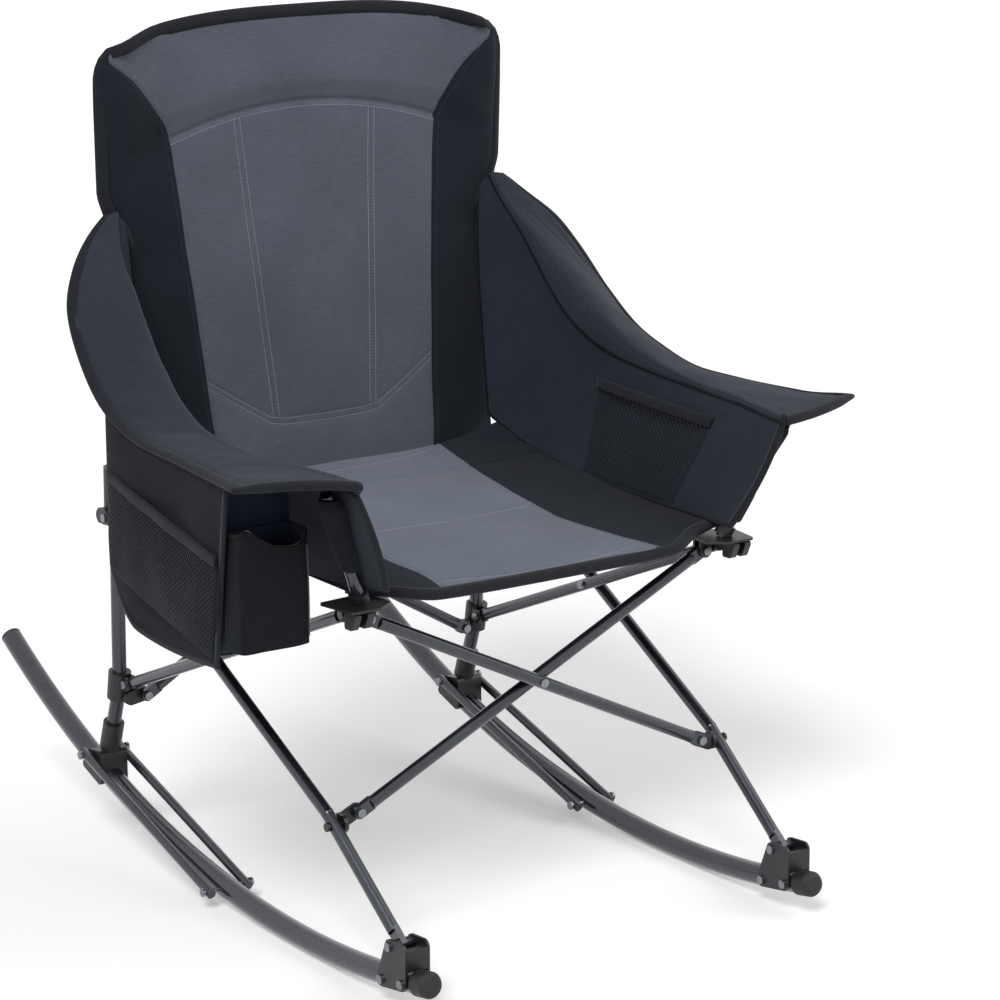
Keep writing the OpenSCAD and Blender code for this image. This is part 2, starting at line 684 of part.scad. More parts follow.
// the pad thins along its stitched lines and at its edges
function back_thick(u, v) =
    let (s = 2 * u - 1, x = abs(s) * back_half(v), line = mix(72, 103, v / 0.85), seam = 0.8 + 0.06 * s * s)
    back_t * (1 - 0.45 * dip(x - line, 12) * ease((0.84 - v) / 0.04) - 0.35 * dip(v - seam, 0.02))
    * (0.55 + 0.45 * ease((1 - abs(s)) / 0.14));

module back_panel() {
    sleeve_low = mix(back_low_z, back_top_z, 0.72);
    color(grey_cloth) difference() {
        union() {
            cloth(function(u, v) back_point(u, v), function(u, v) back_thick(u, v), 26, 20);
            for (s = [-1, 1]) bar([s * post_x, post_y(sleeve_low), sleeve_low],
                [s * post_x, post_y(post_top_z + 4), post_top_z + 4], post_r + soft_gap + panel_t);
        }
        for (s = [-1, 1]) bar([s * post_x, post_y(sleeve_low - 30), sleeve_low - 30],
            [s * post_x, post_y(post_top_z + soft_gap), post_top_z + soft_gap], post_r + soft_gap);
    }
}

// ---- seat: the rear part and the front part meet at the fold line ----
seat_rear_y = 350;
seat_fold_y = 260;
seat_edge = rocker_x - 14;
seat_front_y = rail_front[0] - 33;
function seat_top(x, y) =
    flange_top + 3 + (y - seat_front_y) * 0.0719
    + pow(abs(x) / seat_edge, 4) * lookup(y, [[-121, 12], [-60, 8], [0, 4], [100, 0], [220, 4], [300, 10], [350, 24]]);
function seat_point(x, y) = [x, y, seat_top(x, y) - seat_t / 2];
// the front hem is drawn back behind the arm posts
function hem_y(x) = seat_front_y + 38 * ease((abs(x) - 150) / (rail_x - 24 - 150));

module seat_rear() {
    color(grey_cloth) cloth(
        function(u, v) seat_point((2 * u - 1) * seat_edge, mix(seat_fold_y + soft_gap, seat_rear_y, v)),
        function(u, v) seat_t * (0.6 + 0.4 * ease((1 - abs(2 * u - 1)) / 0.1)), 24, 4);
}

module seat_front() {
    color(grey_cloth) cloth(
        function(u, v) let (x = (2 * u - 1) * seat_edge) seat_point(x, mix(hem_y(x), seat_fold_y - soft_gap, v)),
        function(u, v) seat_t * (0.6 + 0.4 * ease((1 - abs(2 * u - 1)) / 0.1)) * (1 - 0.3 * dip(v - 0.05, 0.04)),
        28, 18);
}

// ---- arms and side panels ----
arm_inner = [
    beside(3, 404, 866), beside(12, 386, 822), beside(20, 362, 792), beside(29, 322, 762), beside(41, 262, 713),
    beside(51, 190, 663), beside(56, 110, 630), beside(52, 25, 618), beside(36, -60, 616), beside(32, -128, 616)
];
arm_outer = [
    beside(22, 400, 862), beside(53, 388, 824), beside(83, 364, 786), beside(105, 338, 744), beside(116, 290, 692),
    beside(123, 225, 646), beside(128, 140, 622), beside(134, 30, 618), beside(142, -70, 618), beside(160, -158, 618)
];
arm_lift = arm_z - 618 - front_move[1];
function arm_point(u, v) = mix(through(arm_inner, u), through(arm_outer, u), v) + [0, 0, arm_lift * u];
function arm_thick(u, v) = arm_t * (0.6 + 0.4 * ease(min(v, 1 - v) / 0.2)) * (0.7 + 0.3 * ease(min(u, 1 - u) / 0.05));

module arm_pad(side) {
    color(arm_cloth) on_side(side)
        cloth(function(u, v) arm_point(1 - u, v), function(u, v) arm_thick(1 - u, v), 36, 8);
}

side_off = side_t / 2 + soft_gap;
function seam(v, y) = [back_half(v) + side_off + 3, y, mix(back_low_z, back_top_z, v)];
side_low = [
    seam(0.56, 405), seam(0.47, 399), seam(0.36, 391), seam(0.2, 380), seam(0.07, 369),
    [seat_edge - 30, seat_rear_y - 4, seat_top(seat_edge - 30, seat_rear_y) + 9],
    for (place = [290, 200, 100, 0, -60, -104], y = place + front_move[0] * clamp01((400 - place) / 514))
        [seat_edge + side_off - 1.1, y, seat_top(seat_edge, y) + 1]
];
function side_point(u, v) =
    let (top = arm_point(u * 0.96, 0) - [1, 0, arm_t * 0.3 + side_t * 0.55 + soft_gap], low = through(side_low, u))
    mix(low, top, v) + [sin(180 * v) * 5 * sin(180 * u), 0, 0];

module side_panel(side) {
    color(navy_cloth) on_side(side)
        cloth(function(u, v) side_point(1 - u, v), function(u, v) side_t, 34, 8);
}

// ---- outer panel and pockets ----
outer_rear_y = 222;
outer_front_y = rail_front[0] + 56;
outer_low_z = flange_top - 66;
outer_wave = 3;
function outer_x(y) = rocker_x + lookup(y, [[-70, 141], [30, 133], [140, 127], [225, 122]]) - 2;
function outer_point(u, v) =
    let (y = mix(outer_rear_y, outer_front_y, u), round_off = 60 * pow(1 - clamp01(u / 0.25), 2),
         top = arm_point(lookup(y, [[-70, 0.889], [30, 0.778], [140, 0.667], [225, 0.5556]]), 1)[2]
             - arm_t * 0.3 - soft_gap - 0.9,
         low = outer_low_z + round_off - 10 * sin(180 * u))
    [outer_x(y) + outer_wave * sin(180 * v) * sin(540 * u), y, mix(low, top, v)];

module outer_panel() {
    color(navy_cloth) on_side(-1)
        cloth(function(u, v) outer_point(u, v), function(u, v) panel_t, 24, 8);
}

// a flat net of square gaps under a hem, in its own plane: width w, height h, gaps across and down
module net(w, h, across, down) {
    hem = 9;
    cord = 2.4;
    step = [(w - 2 * hem) / across, (h - 2 * hem) / down];
    linear_extrude(panel_t) difference() {
        translate([5, 5]) offset(r = 5) square([w - 10, h - 10]);
        for (i = [0:across - 1]) for (j = [0:down - 1])
            translate([hem + i * step[0] + cord / 2, hem + j * step[1] + cord / 2])
                square([step[0] - cord, step[1] - cord]);
    }
}

// the net stands behind the arm's outer panel, upright and facing outward
module left_mesh() {
    w = outer_rear_y - outer_front_y - 40;
    turn = atan2(outer_x(outer_front_y) - outer_x(outer_rear_y), outer_rear_y - outer_front_y);
    color(black_net) on_side(-1)
        translate([outer_x(outer_front_y) + panel_t / 2 + outer_wave + 0.2, outer_front_y + 12, outer_low_z + 14])
            rotate([0, 0, turn])
                multmatrix([[0, 0, 1, 0], [1, 0, 0, 0], [0, 1, 0, 0], [0, 0, 0, 1]]) net(w, 150, 12, 8);
}

// the inner net leans with the right side panel
module right_mesh() {
    foot = side_point(0.86, 0.16);
    head = side_point(0.86, 0.9);
    lean = atan2(head[0] - foot[0], head[2] - foot[2]);
    color(black_net) translate([foot[0] - side_t - 5.6, foot[1], foot[2]]) rotate([0, lean, 0])
        multmatrix([[0, 0, 1, 0], [1, 0, 0, 0], [0, 1, 0, 0], [0, 0, 0, 1]]) net(200, 105, 12, 6);
}

// ---- zip pouch under the left arm ----
pouch_outer_x = outer_x(-70) - 6;
pouch_inner_x = pouch_outer_x - pouch_w;
pouch_front_y = rail_front[0] + 5;
pouch_low_z = flange_top - 41;
pouch_rim_z = flange_top + 97;
pouch_back_z = arm_z - arm_t / 2 - soft_gap - 1.2;
zip_z = [pouch_low_z + 14, pouch_rim_z - 12];
zip_y = pouch_front_y + 14;

module zip_pouch() {
    color(navy_cloth) on_side(-1) difference() {
        union() {
            translate([pouch_inner_x, pouch_front_y, pouch_low_z])
                cube([pouch_w, pouch_depth, pouch_rim_z - pouch_low_z]);
            translate([pouch_inner_x, pouch_front_y + pouch_depth - panel_t, pouch_low_z])
                cube([pouch_w, panel_t, pouch_back_z - pouch_low_z]);
        }
        translate([pouch_inner_x + panel_t, pouch_front_y + panel_t, pouch_low_z + panel_t])
            cube([pouch_w - 2 * panel_t, pouch_depth - 2 * panel_t, pouch_back_z]);
        translate([(pouch_inner_x + pouch_outer_x) / 2, pouch_front_y - 1, pouch_rim_z + pouch_w * 0.95])
            rotate([-90, 0, 0]) cylinder(h = panel_t + 2, r = pouch_w * 1.05, $fn = 96);
    }
}

module zip_tape() {
    x = pouch_inner_x - 1.2;
    color(black_net) on_side(-1) difference() {
        translate([x, zip_y - 8, zip_z[0]]) cube([1.2, 16, zip_z[1] - zip_z[0]]);
        translate([x - 1, zip_y - 1, zip_z[0] + 3]) cube([3, 2, zip_z[1] - zip_z[0] - 6]);
    }
}

module zip_slider() {
    x = pouch_inner_x - 1.2;
    z = zip_z[1] - 16;
    color(bright) on_side(-1) {
        translate([x - 3, zip_y - 3.5, z]) cube([2.7, 7, 11]);
        difference() {
            translate([x - 4.5, zip_y - 2.5, z - 20]) cube([1.6, 5, 26]);
            pin_x([zip_y, z - 16], x - 8, x, 1.2);
        }
    }
}

post(-1);  // left_post
lower_hub(-1);  // left_lower_hub
hub_bolts(-1);  // left_hub_bolts
rear_socket(-1);  // left_rear_socket
back_panel();
post(1);  // right_post
lower_hub(1);  // right_lower_hub
hub_bolts(1);  // right_hub_bolts
rear_socket(1);  // right_rear_socket
side_rail(-1);  // left_side_rail
cross_bolt(-1);  // left_cross_bolt
side_rail(1);  // right_side_rail
cross_bolt(1);  // right_cross_bolt
leg(-1);  // left_leg
leg_swivel(-1);  // left_leg_swivel
leg(1);  // right_leg
leg_swivel(1);  // right_leg_swivel
corner_bracket(-1);  // left_corner_bracket
corner_bolts(-1);  // left_corner_bolts
arm_post(-1);  // left_arm_post
corner_bracket(1);  // right_corner_bracket
corner_bolts(1);  // right_corner_bolts
arm_post(1);  // right_arm_post
rocker(-1);  // left_rocker
rocker_caps(-1);  // left_rocker_caps
foot_bracket(-1);  // left_foot_bracket
rocker_bolts(-1);  // left_rocker_bolts
rocker(1);  // right_rocker
rocker_caps(1);  // right_rocker_caps
foot_bracket(1);  // right_foot_bracket
rocker_bolts(1);  // right_rocker_bolts
stay_bars(-1);  // left_stay_bars
stay_bolts(-1);  // left_stay_bolts
stay_bars(1);  // right_stay_bars
stay_bolts(1);  // right_stay_bolts
upper_hub(-1);  // left_upper_hub
upper_hub_bolts(-1);  // left_upper_hub_bolt
upper_hub(1);  // right_upper_hub
upper_hub_bolts(1);  // right_upper_hub_bolts
cross_tube(1, front_low(0), front_high(0));  // front_cross_tube_a
front_bolts(0);  // front_cross_bolts_a
cross_tube(-1, front_low(1), front_high(1));  // front_cross_tube_b
front_bolts(1);  // front_cross_bolts_b
rear_cross_tube(-1, 0);  // rear_cross_tube_a
rear_bolts_a();  // rear_cross_rivet_a
rear_cross_tube(1, 1);  // rear_cross_tube_b
rear_bolts_b();  // rear_cross_bolts_b
seat_rear();
seat_front();
arm_pad(-1);  // left_arm_pad
arm_pad(1);  // right_arm_pad
side_panel(-1);  // left_side_panel
side_panel(1);  // right_side_panel
outer_panel();  // left_outer_panel
left_mesh();  // left_mesh_pocket
right_mesh();  // right_mesh_pocket
zip_pouch();
zip_tape();
zip_slider();
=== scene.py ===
"""Dresses a folding camp rocking chair: padded covers, hems, stitched seams, nets, the zip pouch and the finishes."""
import json
import logging
import math
from collections.abc import Callable
from dataclasses import dataclass
from enum import Enum

import bmesh
import bpy
import numpy as np
from mathutils import Matrix, Vector
from mathutils.bvhtree import BVHTree

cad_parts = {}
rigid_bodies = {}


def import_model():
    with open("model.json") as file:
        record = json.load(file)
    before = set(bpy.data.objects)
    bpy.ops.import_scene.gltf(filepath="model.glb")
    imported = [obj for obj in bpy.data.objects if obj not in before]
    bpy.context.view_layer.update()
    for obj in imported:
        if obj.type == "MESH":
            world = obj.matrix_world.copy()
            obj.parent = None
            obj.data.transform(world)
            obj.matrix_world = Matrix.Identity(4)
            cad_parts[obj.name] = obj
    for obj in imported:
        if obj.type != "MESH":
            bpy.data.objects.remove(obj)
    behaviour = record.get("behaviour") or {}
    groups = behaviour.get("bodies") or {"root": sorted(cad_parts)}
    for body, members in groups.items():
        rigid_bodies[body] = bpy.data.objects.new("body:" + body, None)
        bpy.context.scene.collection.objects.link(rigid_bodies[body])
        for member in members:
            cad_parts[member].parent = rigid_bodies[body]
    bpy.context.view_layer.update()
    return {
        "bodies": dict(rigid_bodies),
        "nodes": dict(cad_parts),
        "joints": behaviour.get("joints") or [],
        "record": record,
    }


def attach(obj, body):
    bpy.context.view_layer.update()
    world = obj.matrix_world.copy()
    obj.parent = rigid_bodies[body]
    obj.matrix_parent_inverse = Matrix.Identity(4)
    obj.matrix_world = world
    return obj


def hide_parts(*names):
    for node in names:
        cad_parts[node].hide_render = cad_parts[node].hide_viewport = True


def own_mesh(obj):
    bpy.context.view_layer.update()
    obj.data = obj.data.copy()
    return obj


log = logging.getLogger("chair")
MM = 0.001
Array = np.ndarray


class Side(Enum):
    """The two sides of the chair, by the sign of x."""

    LEFT = -1
    RIGHT = 1

    @property
    def word(self) -> str:
        """The side's name, as the frame's nodes spell it."""
        return self.name.lower()


# ---- colour and node helpers ----
def linear(colour: str) -> tuple[float, float, float, float]:
    """Turns an sRGB hex colour to linear.

    Args:
        colour: six hex digits, with or without a leading hash.

    Returns:
        Linear red, green, blue and an alpha of 1.
    """
    digits = colour.lstrip("#")
    values = []
    for start in (0, 2, 4):
        c = int(digits[start:start + 2], 16) / 255
        values.append(c / 12.92 if c <= 0.04045 else ((c + 0.055) / 1.055) ** 2.4)
    return values[0], values[1], values[2], 1.0


def node(tree: bpy.types.NodeTree, kind: str, inputs: dict | None = None,
         stops: tuple[tuple[float, str], ...] = (), **settings: object) -> bpy.types.Node:
    """Adds a node with its settings and links.

    Args:
        tree: the tree that gets the node.
        kind: the node's type name.
        inputs: a value or an output socket for each input, by name or index.
        stops: a place and a hex colour for each stop, where it has a colour ramp.
        settings: the node's own properties.

    Returns:
        The new node.
    """
    made = tree.nodes.new(kind)
    for name, value in settings.items():
        setattr(made, name, value)
    for _ in stops[2:]:
        made.color_ramp.elements.new(0.5)
    for (place, colour), element in zip(stops, made.color_ramp.elements if stops else ()):
        element.position, element.color = place, linear(colour)
    for key, value in (inputs or {}).items():
        if isinstance(value, bpy.types.NodeSocket):
            tree.links.new(value, made.inputs[key])
        else:
            made.inputs[key].default_value = value
    return made


@dataclass(frozen=True)
class Finish:
    """A surface finish: its name, its main colour and its roughness."""

    name: str
    colour: str
    roughness: float

    def shader(self) -> tuple[bpy.types.Material, bpy.types.NodeTree, bpy.types.Node]:
        """Makes an empty material with its principled shader.

        Returns:
            The material, its tree and the shader.
        """
        material = bpy.data.materials.new(self.name)
        material.use_nodes = True
        tree = material.node_tree
        shader = tree.nodes["Principled BSDF"]
        shader.inputs["Base Color"].default_value = linear(self.colour)
        shader.inputs["Roughness"].default_value = self.roughness
        return material, tree, shader

    def link(self, tree: bpy.types.NodeTree, shader: bpy.types.Node, colour: bpy.types.NodeSocket,
             bump: dict[str, object], **values: float) -> None:
        """Links a colour and a bump to the shader and sets its other inputs.

        Args:
            tree: the material's tree.
            shader: its principled shader.
            colour: the socket that gives the main colour.
            bump: the bump's height, strength and distance in metres.
            values: a value for each other input, by its name with underscores.
        """
        tree.links.new(colour, shader.inputs["Base Color"])
        tree.links.new(node(tree, "ShaderNodeBump", bump).outputs[0], shader.inputs["Normal"])
        for name, value in values.items():
            shader.inputs[name.replace("_", " ")].default_value = value


@dataclass(frozen=True)
class WovenPolyester(Finish):
    """Oxford cloth, plain-woven from polyester yarn and coated behind: matt, with a soft sheen at grazing angles."""

    # the colour ramp runs from painted shade in the thread gaps to a painted highlight on the thread crowns, over the
    # random tone
    gap_colour: str = "#3b3e45"
    high_colour: str = "#666a72"
    thread_mm: float = 1.5  # the yarn is about 0.5 mm, and is drawn three times as coarse so that it shows
    sheen: float = 0.25
    depth: float = 0.35

    def build(self) -> bpy.types.Material:
        """Builds the plain weave over the piece's UV map, whose unit is a metre."""
        material, tree, shader = self.shader()
        uv = node(tree, "ShaderNodeUVMap", uv_map="cloth").outputs[0]
        threads = 1000 / self.thread_mm
        grid = node(tree, "ShaderNodeMapping", {"Vector": uv, "Scale": (threads, threads, 1)}).outputs[0]
        axes = node(tree, "ShaderNodeSeparateXYZ", {0: grid})
        ridges = []
        for axis in (0, 1):
            angle = node(tree, "ShaderNodeMath", {0: axes.outputs[axis], 1: math.pi}, operation="MULTIPLY")
            wave = node(tree, "ShaderNodeMath", {0: angle.outputs[0]}, operation="SINE")
            ridges.append(node(tree, "ShaderNodeMath", {0: wave.outputs[0]}, operation="ABSOLUTE").outputs[0])
        over = node(tree, "ShaderNodeTexChecker", {"Vector": grid, "Scale": 1.0,
                                                   "Color1": (1, 1, 1, 1), "Color2": (0, 0, 0, 1)}).outputs["Fac"]
        weave = node(tree, "ShaderNodeMix", {0: over, 2: ridges[0], 3: ridges[1]}).outputs[0]
        slub = node(tree, "ShaderNodeTexNoise", {
            "Vector": node(tree, "ShaderNodeMapping", {"Vector": uv, "Scale": (60, 900, 1)}).outputs[0],
            "Scale": 1.0, "Detail": 2.0}).outputs[0]
        wash = node(tree, "ShaderNodeTexNoise", {
            "Vector": node(tree, "ShaderNodeTexCoord").outputs["Object"], "Scale": 7.0, "Detail": 3.0}).outputs[0]
        tone = node(tree, "ShaderNodeMath", {0: wash, 1: 0.3}, operation="MULTIPLY").outputs[0]
        for part, share in ((slub, 0.4), (weave, 0.3)):
            tone = node(tree, "ShaderNodeMath", {0: part, 1: share, 2: tone}, operation="MULTIPLY_ADD").outputs[0]
        # the weave's height sets the colour: painted shade in the thread gaps, a painted highlight on the crowns
        colour = node(tree, "ShaderNodeValToRGB", {0: tone}, (
            (0.32, self.gap_colour), (0.55, self.colour), (0.76, self.high_colour))).outputs[0]
        self.link(tree, shader, colour, {"Height": weave, "Strength": self.depth, "Distance": 0.0004},
                  Sheen_Weight=self.sheen, Sheen_Roughness=0.45, Specular_IOR_Level=0.15)
        return material


@dataclass(frozen=True)
class Webbing(Finish):
    """Grosgrain tape of black polypropylene yarn: cross ribs that catch the light along folded edges, painted paler on
    their crowns and darker in the grooves as painted highlight and shade.
    """

    rib_mm: float = 1.6
    # painted shade in the grooves between the ribs
    gap_colour: str = "#0b0c0e"

    def build(self) -> bpy.types.Material:
        """Builds the ribs across the tape's length."""
        material, tree, shader = self.shader()
        uv = node(tree, "ShaderNodeUVMap", uv_map="cloth").outputs[0]
        bands = node(tree, "ShaderNodeTexWave", {"Vector": uv, "Scale": 1000 / self.rib_mm / math.tau * 2,
                                                 "Distortion": 0.6, "Detail": 1.0}, bands_direction="X")
        # the ribs' height sets the colour: a painted highlight on the crowns, painted shade in the grooves
        colour = node(tree, "ShaderNodeValToRGB", {0: bands.outputs[1]},
                      ((0.0, self.gap_colour), (1.0, self.colour))).outputs[0]
        self.link(tree, shader, colour, {"Height": bands.outputs[1], "Strength": 0.5, "Distance": 0.0003},
                  Sheen_Weight=0.08, Specular_IOR_Level=0.15)
        return material


@dataclass(frozen=True)
class GrainedSolid(Finish):
    """A moulded or coated surface whose fine grain breaks up its highlights."""

    dark: str = "#101113"
    grain_mm: float = 0.6
    grain: float = 0.12
    metallic: float = 0.0
    coat: float = 0.0
    coat_roughness: float = 0.15
    streak: float = 1.0  # how far the grain is drawn out along z, as on turned or drawn metal

    def build(self) -> bpy.types.Material:
        """Builds the grain over object coordinates, whose unit is a metre."""
        material, tree, shader = self.shader()
        place = node(tree, "ShaderNodeTexCoord").outputs["Object"]
        fine = node(tree, "ShaderNodeTexNoise", {
            "Vector": node(tree, "ShaderNodeMapping", {
                "Vector": place, "Scale": (1, 1, 1 / self.streak)}).outputs[0],
            "Scale": 1000 / self.grain_mm / 2, "Detail": 2.0}).outputs[0]
        broad = node(tree, "ShaderNodeTexNoise", {"Vector": place, "Scale": 14.0, "Detail": 4.0}).outputs[0]
        mixed = node(tree, "ShaderNodeMath", {0: broad, 1: 0.6, 2: fine}, operation="MULTIPLY_ADD").outputs[0]
        colour = node(tree, "ShaderNodeValToRGB", {0: mixed}, ((0.5, self.dark), (0.95, self.colour))).outputs[0]
        worn = node(tree, "ShaderNodeMapRange", {0: broad, 1: 0.3, 2: 0.7, 3: self.roughness * 0.85,
                                                 4: min(1.0, self.roughness * 1.2)}).outputs[0]
        tree.links.new(worn, shader.inputs["Roughness"])
        self.link(tree, shader, colour, {"Height": fine, "Strength": self.grain, "Distance": 0.0002},
                  Metallic=self.metallic, Coat_Weight=self.coat, Coat_Roughness=self.coat_roughness)
        return material


FINISHES: dict[str, Finish] = {
    # grey oxford cloth: slightly heathered, matt, a little paler on the thread crowns as a painted highlight, with
    # painted shade in the thread gaps
    "grey": WovenPolyester("grey_oxford_cloth", "#555a65", 0.9, "#464a54", "#676c78"),
    # the seat's cover is the same grey cloth, painted paler and bluer as painted light, since its top faces up into
    # the lamps
    "seat": WovenPolyester("grey_laminated_oxford_cloth", "#636a77", 0.88, "#525863", "#79818e"),
    # navy-black oxford cloth: the same weave, so dark that only the sheen shows its folds
    "navy": WovenPolyester("navy_oxford_cloth", "#1b1f27", 0.9, "#12151b", "#262b35", 1.5, 0.06),
    # the inner side covers are drawn in a paler slate than the navy
    "side": WovenPolyester("slate_oxford_cloth", "#272c37", 0.9, "#1d2129", "#333945", 1.5, 0.1),
    # the pockets outside the arm are drawn blacker than the navy
    "black": WovenPolyester("black_oxford_cloth", "#14171c", 0.9, "#0d0f13", "#1d2027", 1.5, 0.04),
    "arm": WovenPolyester("charcoal_oxford_cloth", "#2e333d", 0.9, "#22262e", "#3b414c", 1.5, 0.1),
    # nylon taffeta lining: finer, bluer and a little shinier than the covers
    "lining": WovenPolyester("navy_taffeta_lining", "#1a2135", 0.65, "#121726", "#28304a", 1.0, 0.3, 0.2),
    "webbing": Webbing("black_grosgrain_tape", "#2c2f37", 0.9),
    # knotless polyester net: round black yarn, matt
    "net": GrainedSolid("black_polyester_net", "#2e323b", 0.75, "#1a1d23", 0.8, 0.3),
    "pale_thread": GrainedSolid("grey_sewing_thread", "#a9adb6", 0.7, "#8b8f98", 0.5, 0.2),
    "dark_thread": GrainedSolid("black_sewing_thread", "#30343b", 0.7, "#1c1f24", 0.5, 0.2),
    # steel tube under dark metallic powder coat: smooth and glossy, with a fine orange peel
    "tube": GrainedSolid("dark_powder_coated_steel", "#3d4048", 0.27, "#2c2f36", 1.2, 0.05, 0.75, 0.6, 0.08),
    # glass-filled nylon mouldings: spark-eroded grain, satin black
    "nylon": GrainedSolid("black_moulded_nylon", "#1a1b1e", 0.42, "#111214", 0.5, 0.16),
    # zinc-plated steel: bright, with turning marks
    "zinc": GrainedSolid("zinc_plated_steel", "#8d9096", 0.34, "#6c6f74", 0.5, 0.08, 1.0, 0.0, 0.15, 3.0),
    "rubber": GrainedSolid("black_moulded_rubber", "#161718", 0.62, "#0d0e0f", 0.7, 0.25),
    "gunmetal": GrainedSolid("gunmetal_zip_casting", "#5a5c61", 0.35, "#3b3d41", 0.4, 0.06, 1.0),
}


class Wardrobe:
    """Every finish of the chair, built once: each is a material under its name in FINISHES."""

    def __init__(self) -> None:
        """Builds the materials."""
        for name, finish in FINISHES.items():
            setattr(self, name, finish.build())


# ---- geometry node trees ----
@dataclass
class PathTree:
    """A Geometry Nodes tree that works along the edges of a mesh, with its inputs by name."""

    tree: bpy.types.NodeTree
    sockets: dict[str, str]

    def apply(self, name: str, lines: list[Array], values: dict[str, object]) -> bpy.types.Object:
        """Runs the tree on lines of points and keeps the result as a plain mesh.

        Args:
            name: the new piece's name.
            lines: runs of points, in metres.
            values: a value for each named input.

        Returns:
            The finished mesh object.
        """
        points, edges = [], []
        for line in lines:
            edges += [(len(points) + k, len(points) + k + 1) for k in range(len(line) - 1)]
            points += list(line)
        return self.apply_mesh(name, new_mesh(name, points, edges, []), values)

    def apply_mesh(self, name: str, mesh: bpy.types.Mesh, values: dict[str, object]) -> bpy.types.Object:
        """Runs the tree on a mesh and keeps the result as a plain mesh.

        Args:
            name: the new piece's name.
            mesh: the mesh whose edges the tree follows.
            values: a value for each named input.

        Returns:
            The finished mesh object.
        """
        source = add_object(name, mesh)
        modifier = source.modifiers.new("path", "NODES")
        modifier.node_group = self.tree
        for key, value in values.items():
            modifier[self.sockets[key]] = value
        return settle(source)


def settle(source: bpy.types.Object) -> bpy.types.Object:
    """Applies an object's modifiers.

    Args:
        source: an object with modifiers.

    Returns:
        The same object with a plain mesh.
    """
    graph = bpy.context.evaluated_depsgraph_get()
    made = bpy.data.meshes.new_from_object(source.evaluated_get(graph), depsgraph=graph)
    source.modifiers.clear()
    source.data = made
    return source


def new_tree(name: str, inputs: list[tuple[str, str]]) -> PathTree:
    """Starts a Geometry Nodes tree.

    Args:
        name: the tree's name.
        inputs: a name and a socket type for each input after the geometry.

    Returns:
        The tree with its sockets.
    """
    tree = bpy.data.node_groups.new(name, "GeometryNodeTree")
    tree.interface.new_socket("Geometry", in_out="INPUT", socket_type="NodeSocketGeometry")
    sockets = {label: tree.interface.new_socket(label, in_out="INPUT", socket_type=kind).identifier
               for label, kind in inputs}
    tree.interface.new_socket("Geometry", in_out="OUTPUT", socket_type="NodeSocketGeometry")
    return PathTree(tree, sockets)


def close_tree(tree: bpy.types.NodeTree, given: bpy.types.Node, geometry: bpy.types.NodeSocket) -> None:
    """Ends a tree: its instances are made real, given the material and handed out."""
    real = node(tree, "GeometryNodeRealizeInstances", {0: geometry})
    dressed = node(tree, "GeometryNodeSetMaterial", {0: real.outputs[0], "Material": given.outputs["Material"]})
    node(tree, "NodeGroupOutput", {0: dressed.outputs[0]})


def stitch_tree() -> PathTree:
    """Builds the tree that lays short stitches along edges."""
    made = new_tree("stitches_along_edges", [("Spacing", "NodeSocketFloat"), ("Length", "NodeSocketFloat"),
                                             ("Thickness", "NodeSocketFloat"), ("Material", "NodeSocketMaterial")])
    tree = made.tree
    given = node(tree, "NodeGroupInput")
    curve = node(tree, "GeometryNodeMeshToCurve", {0: given.outputs["Geometry"]})
    points = node(tree, "GeometryNodeCurveToPoints", {0: curve.outputs[0], "Length": given.outputs["Spacing"]},
                  mode="LENGTH")
    ball = node(tree, "GeometryNodeMeshIcoSphere", {"Radius": 0.5, "Subdivisions": 1})
    size = node(tree, "ShaderNodeCombineXYZ", {0: given.outputs["Thickness"], 1: given.outputs["Thickness"],
                                               2: given.outputs["Length"]})
    laid = node(tree, "GeometryNodeInstanceOnPoints", {
        "Points": points.outputs["Points"], "Instance": ball.outputs[0],
        "Rotation": points.outputs["Rotation"], "Scale": size.outputs[0]})
    close_tree(tree, given, laid.outputs[0])
    return made


def cord_tree() -> PathTree:
    """Builds the tree that turns edges into round cords."""
    made = new_tree("cords_along_edges", [("Radius", "NodeSocketFloat"), ("Sides", "NodeSocketInt"),
                                          ("Material", "NodeSocketMaterial")])
    tree = made.tree
    given = node(tree, "NodeGroupInput")
    curve = node(tree, "GeometryNodeMeshToCurve", {0: given.outputs["Geometry"]})
    ring = node(tree, "GeometryNodeCurvePrimitiveCircle", {"Resolution": given.outputs["Sides"],
                                                           "Radius": given.outputs["Radius"]})
    swept = node(tree, "GeometryNodeCurveToMesh", {0: curve.outputs[0], 1: ring.outputs[0], "Fill Caps": True})
    close_tree(tree, given, swept.outputs[0])
    return made


# ---- small maths ----
def unit(v: Array) -> Array:
    """Scales vectors to length 1 along their last axis."""
    return v / np.maximum(np.linalg.norm(v, axis=-1, keepdims=True), 1e-12)


def ease(t: Array) -> Array:
    """A smooth step from 0 to 1."""
    c = np.clip(t, 0, 1)
    return c * c * (3 - 2 * c)


def dip(x: Array, width: float) -> Array:
    """A bell of height 1 at 0."""
    return np.exp(-(x / width) ** 2)


def through(points: Array, t: Array) -> Array:
    """Reads a smooth curve through points.

    Args:
        points: the points, one a row.
        t: places from 0 to 1.

    Returns:
        A point for each place.
    """
    points = np.asarray(points, float)
    t = np.asarray(t, float)
    n = len(points) - 1
    s = np.clip(t * n, 0, n - 0.001)
    i = np.floor(s).astype(int)
    k = (s - i)[..., None]
    a, b = points[np.maximum(0, i - 1)], points[i]
    c, d = points[np.minimum(n, i + 1)], points[np.minimum(n, i + 2)]
    return 0.5 * (2 * b + (c - a) * k + (2 * a - 5 * b + 4 * c - d) * k ** 2 + (3 * b - a - 3 * c + d) * k ** 3)


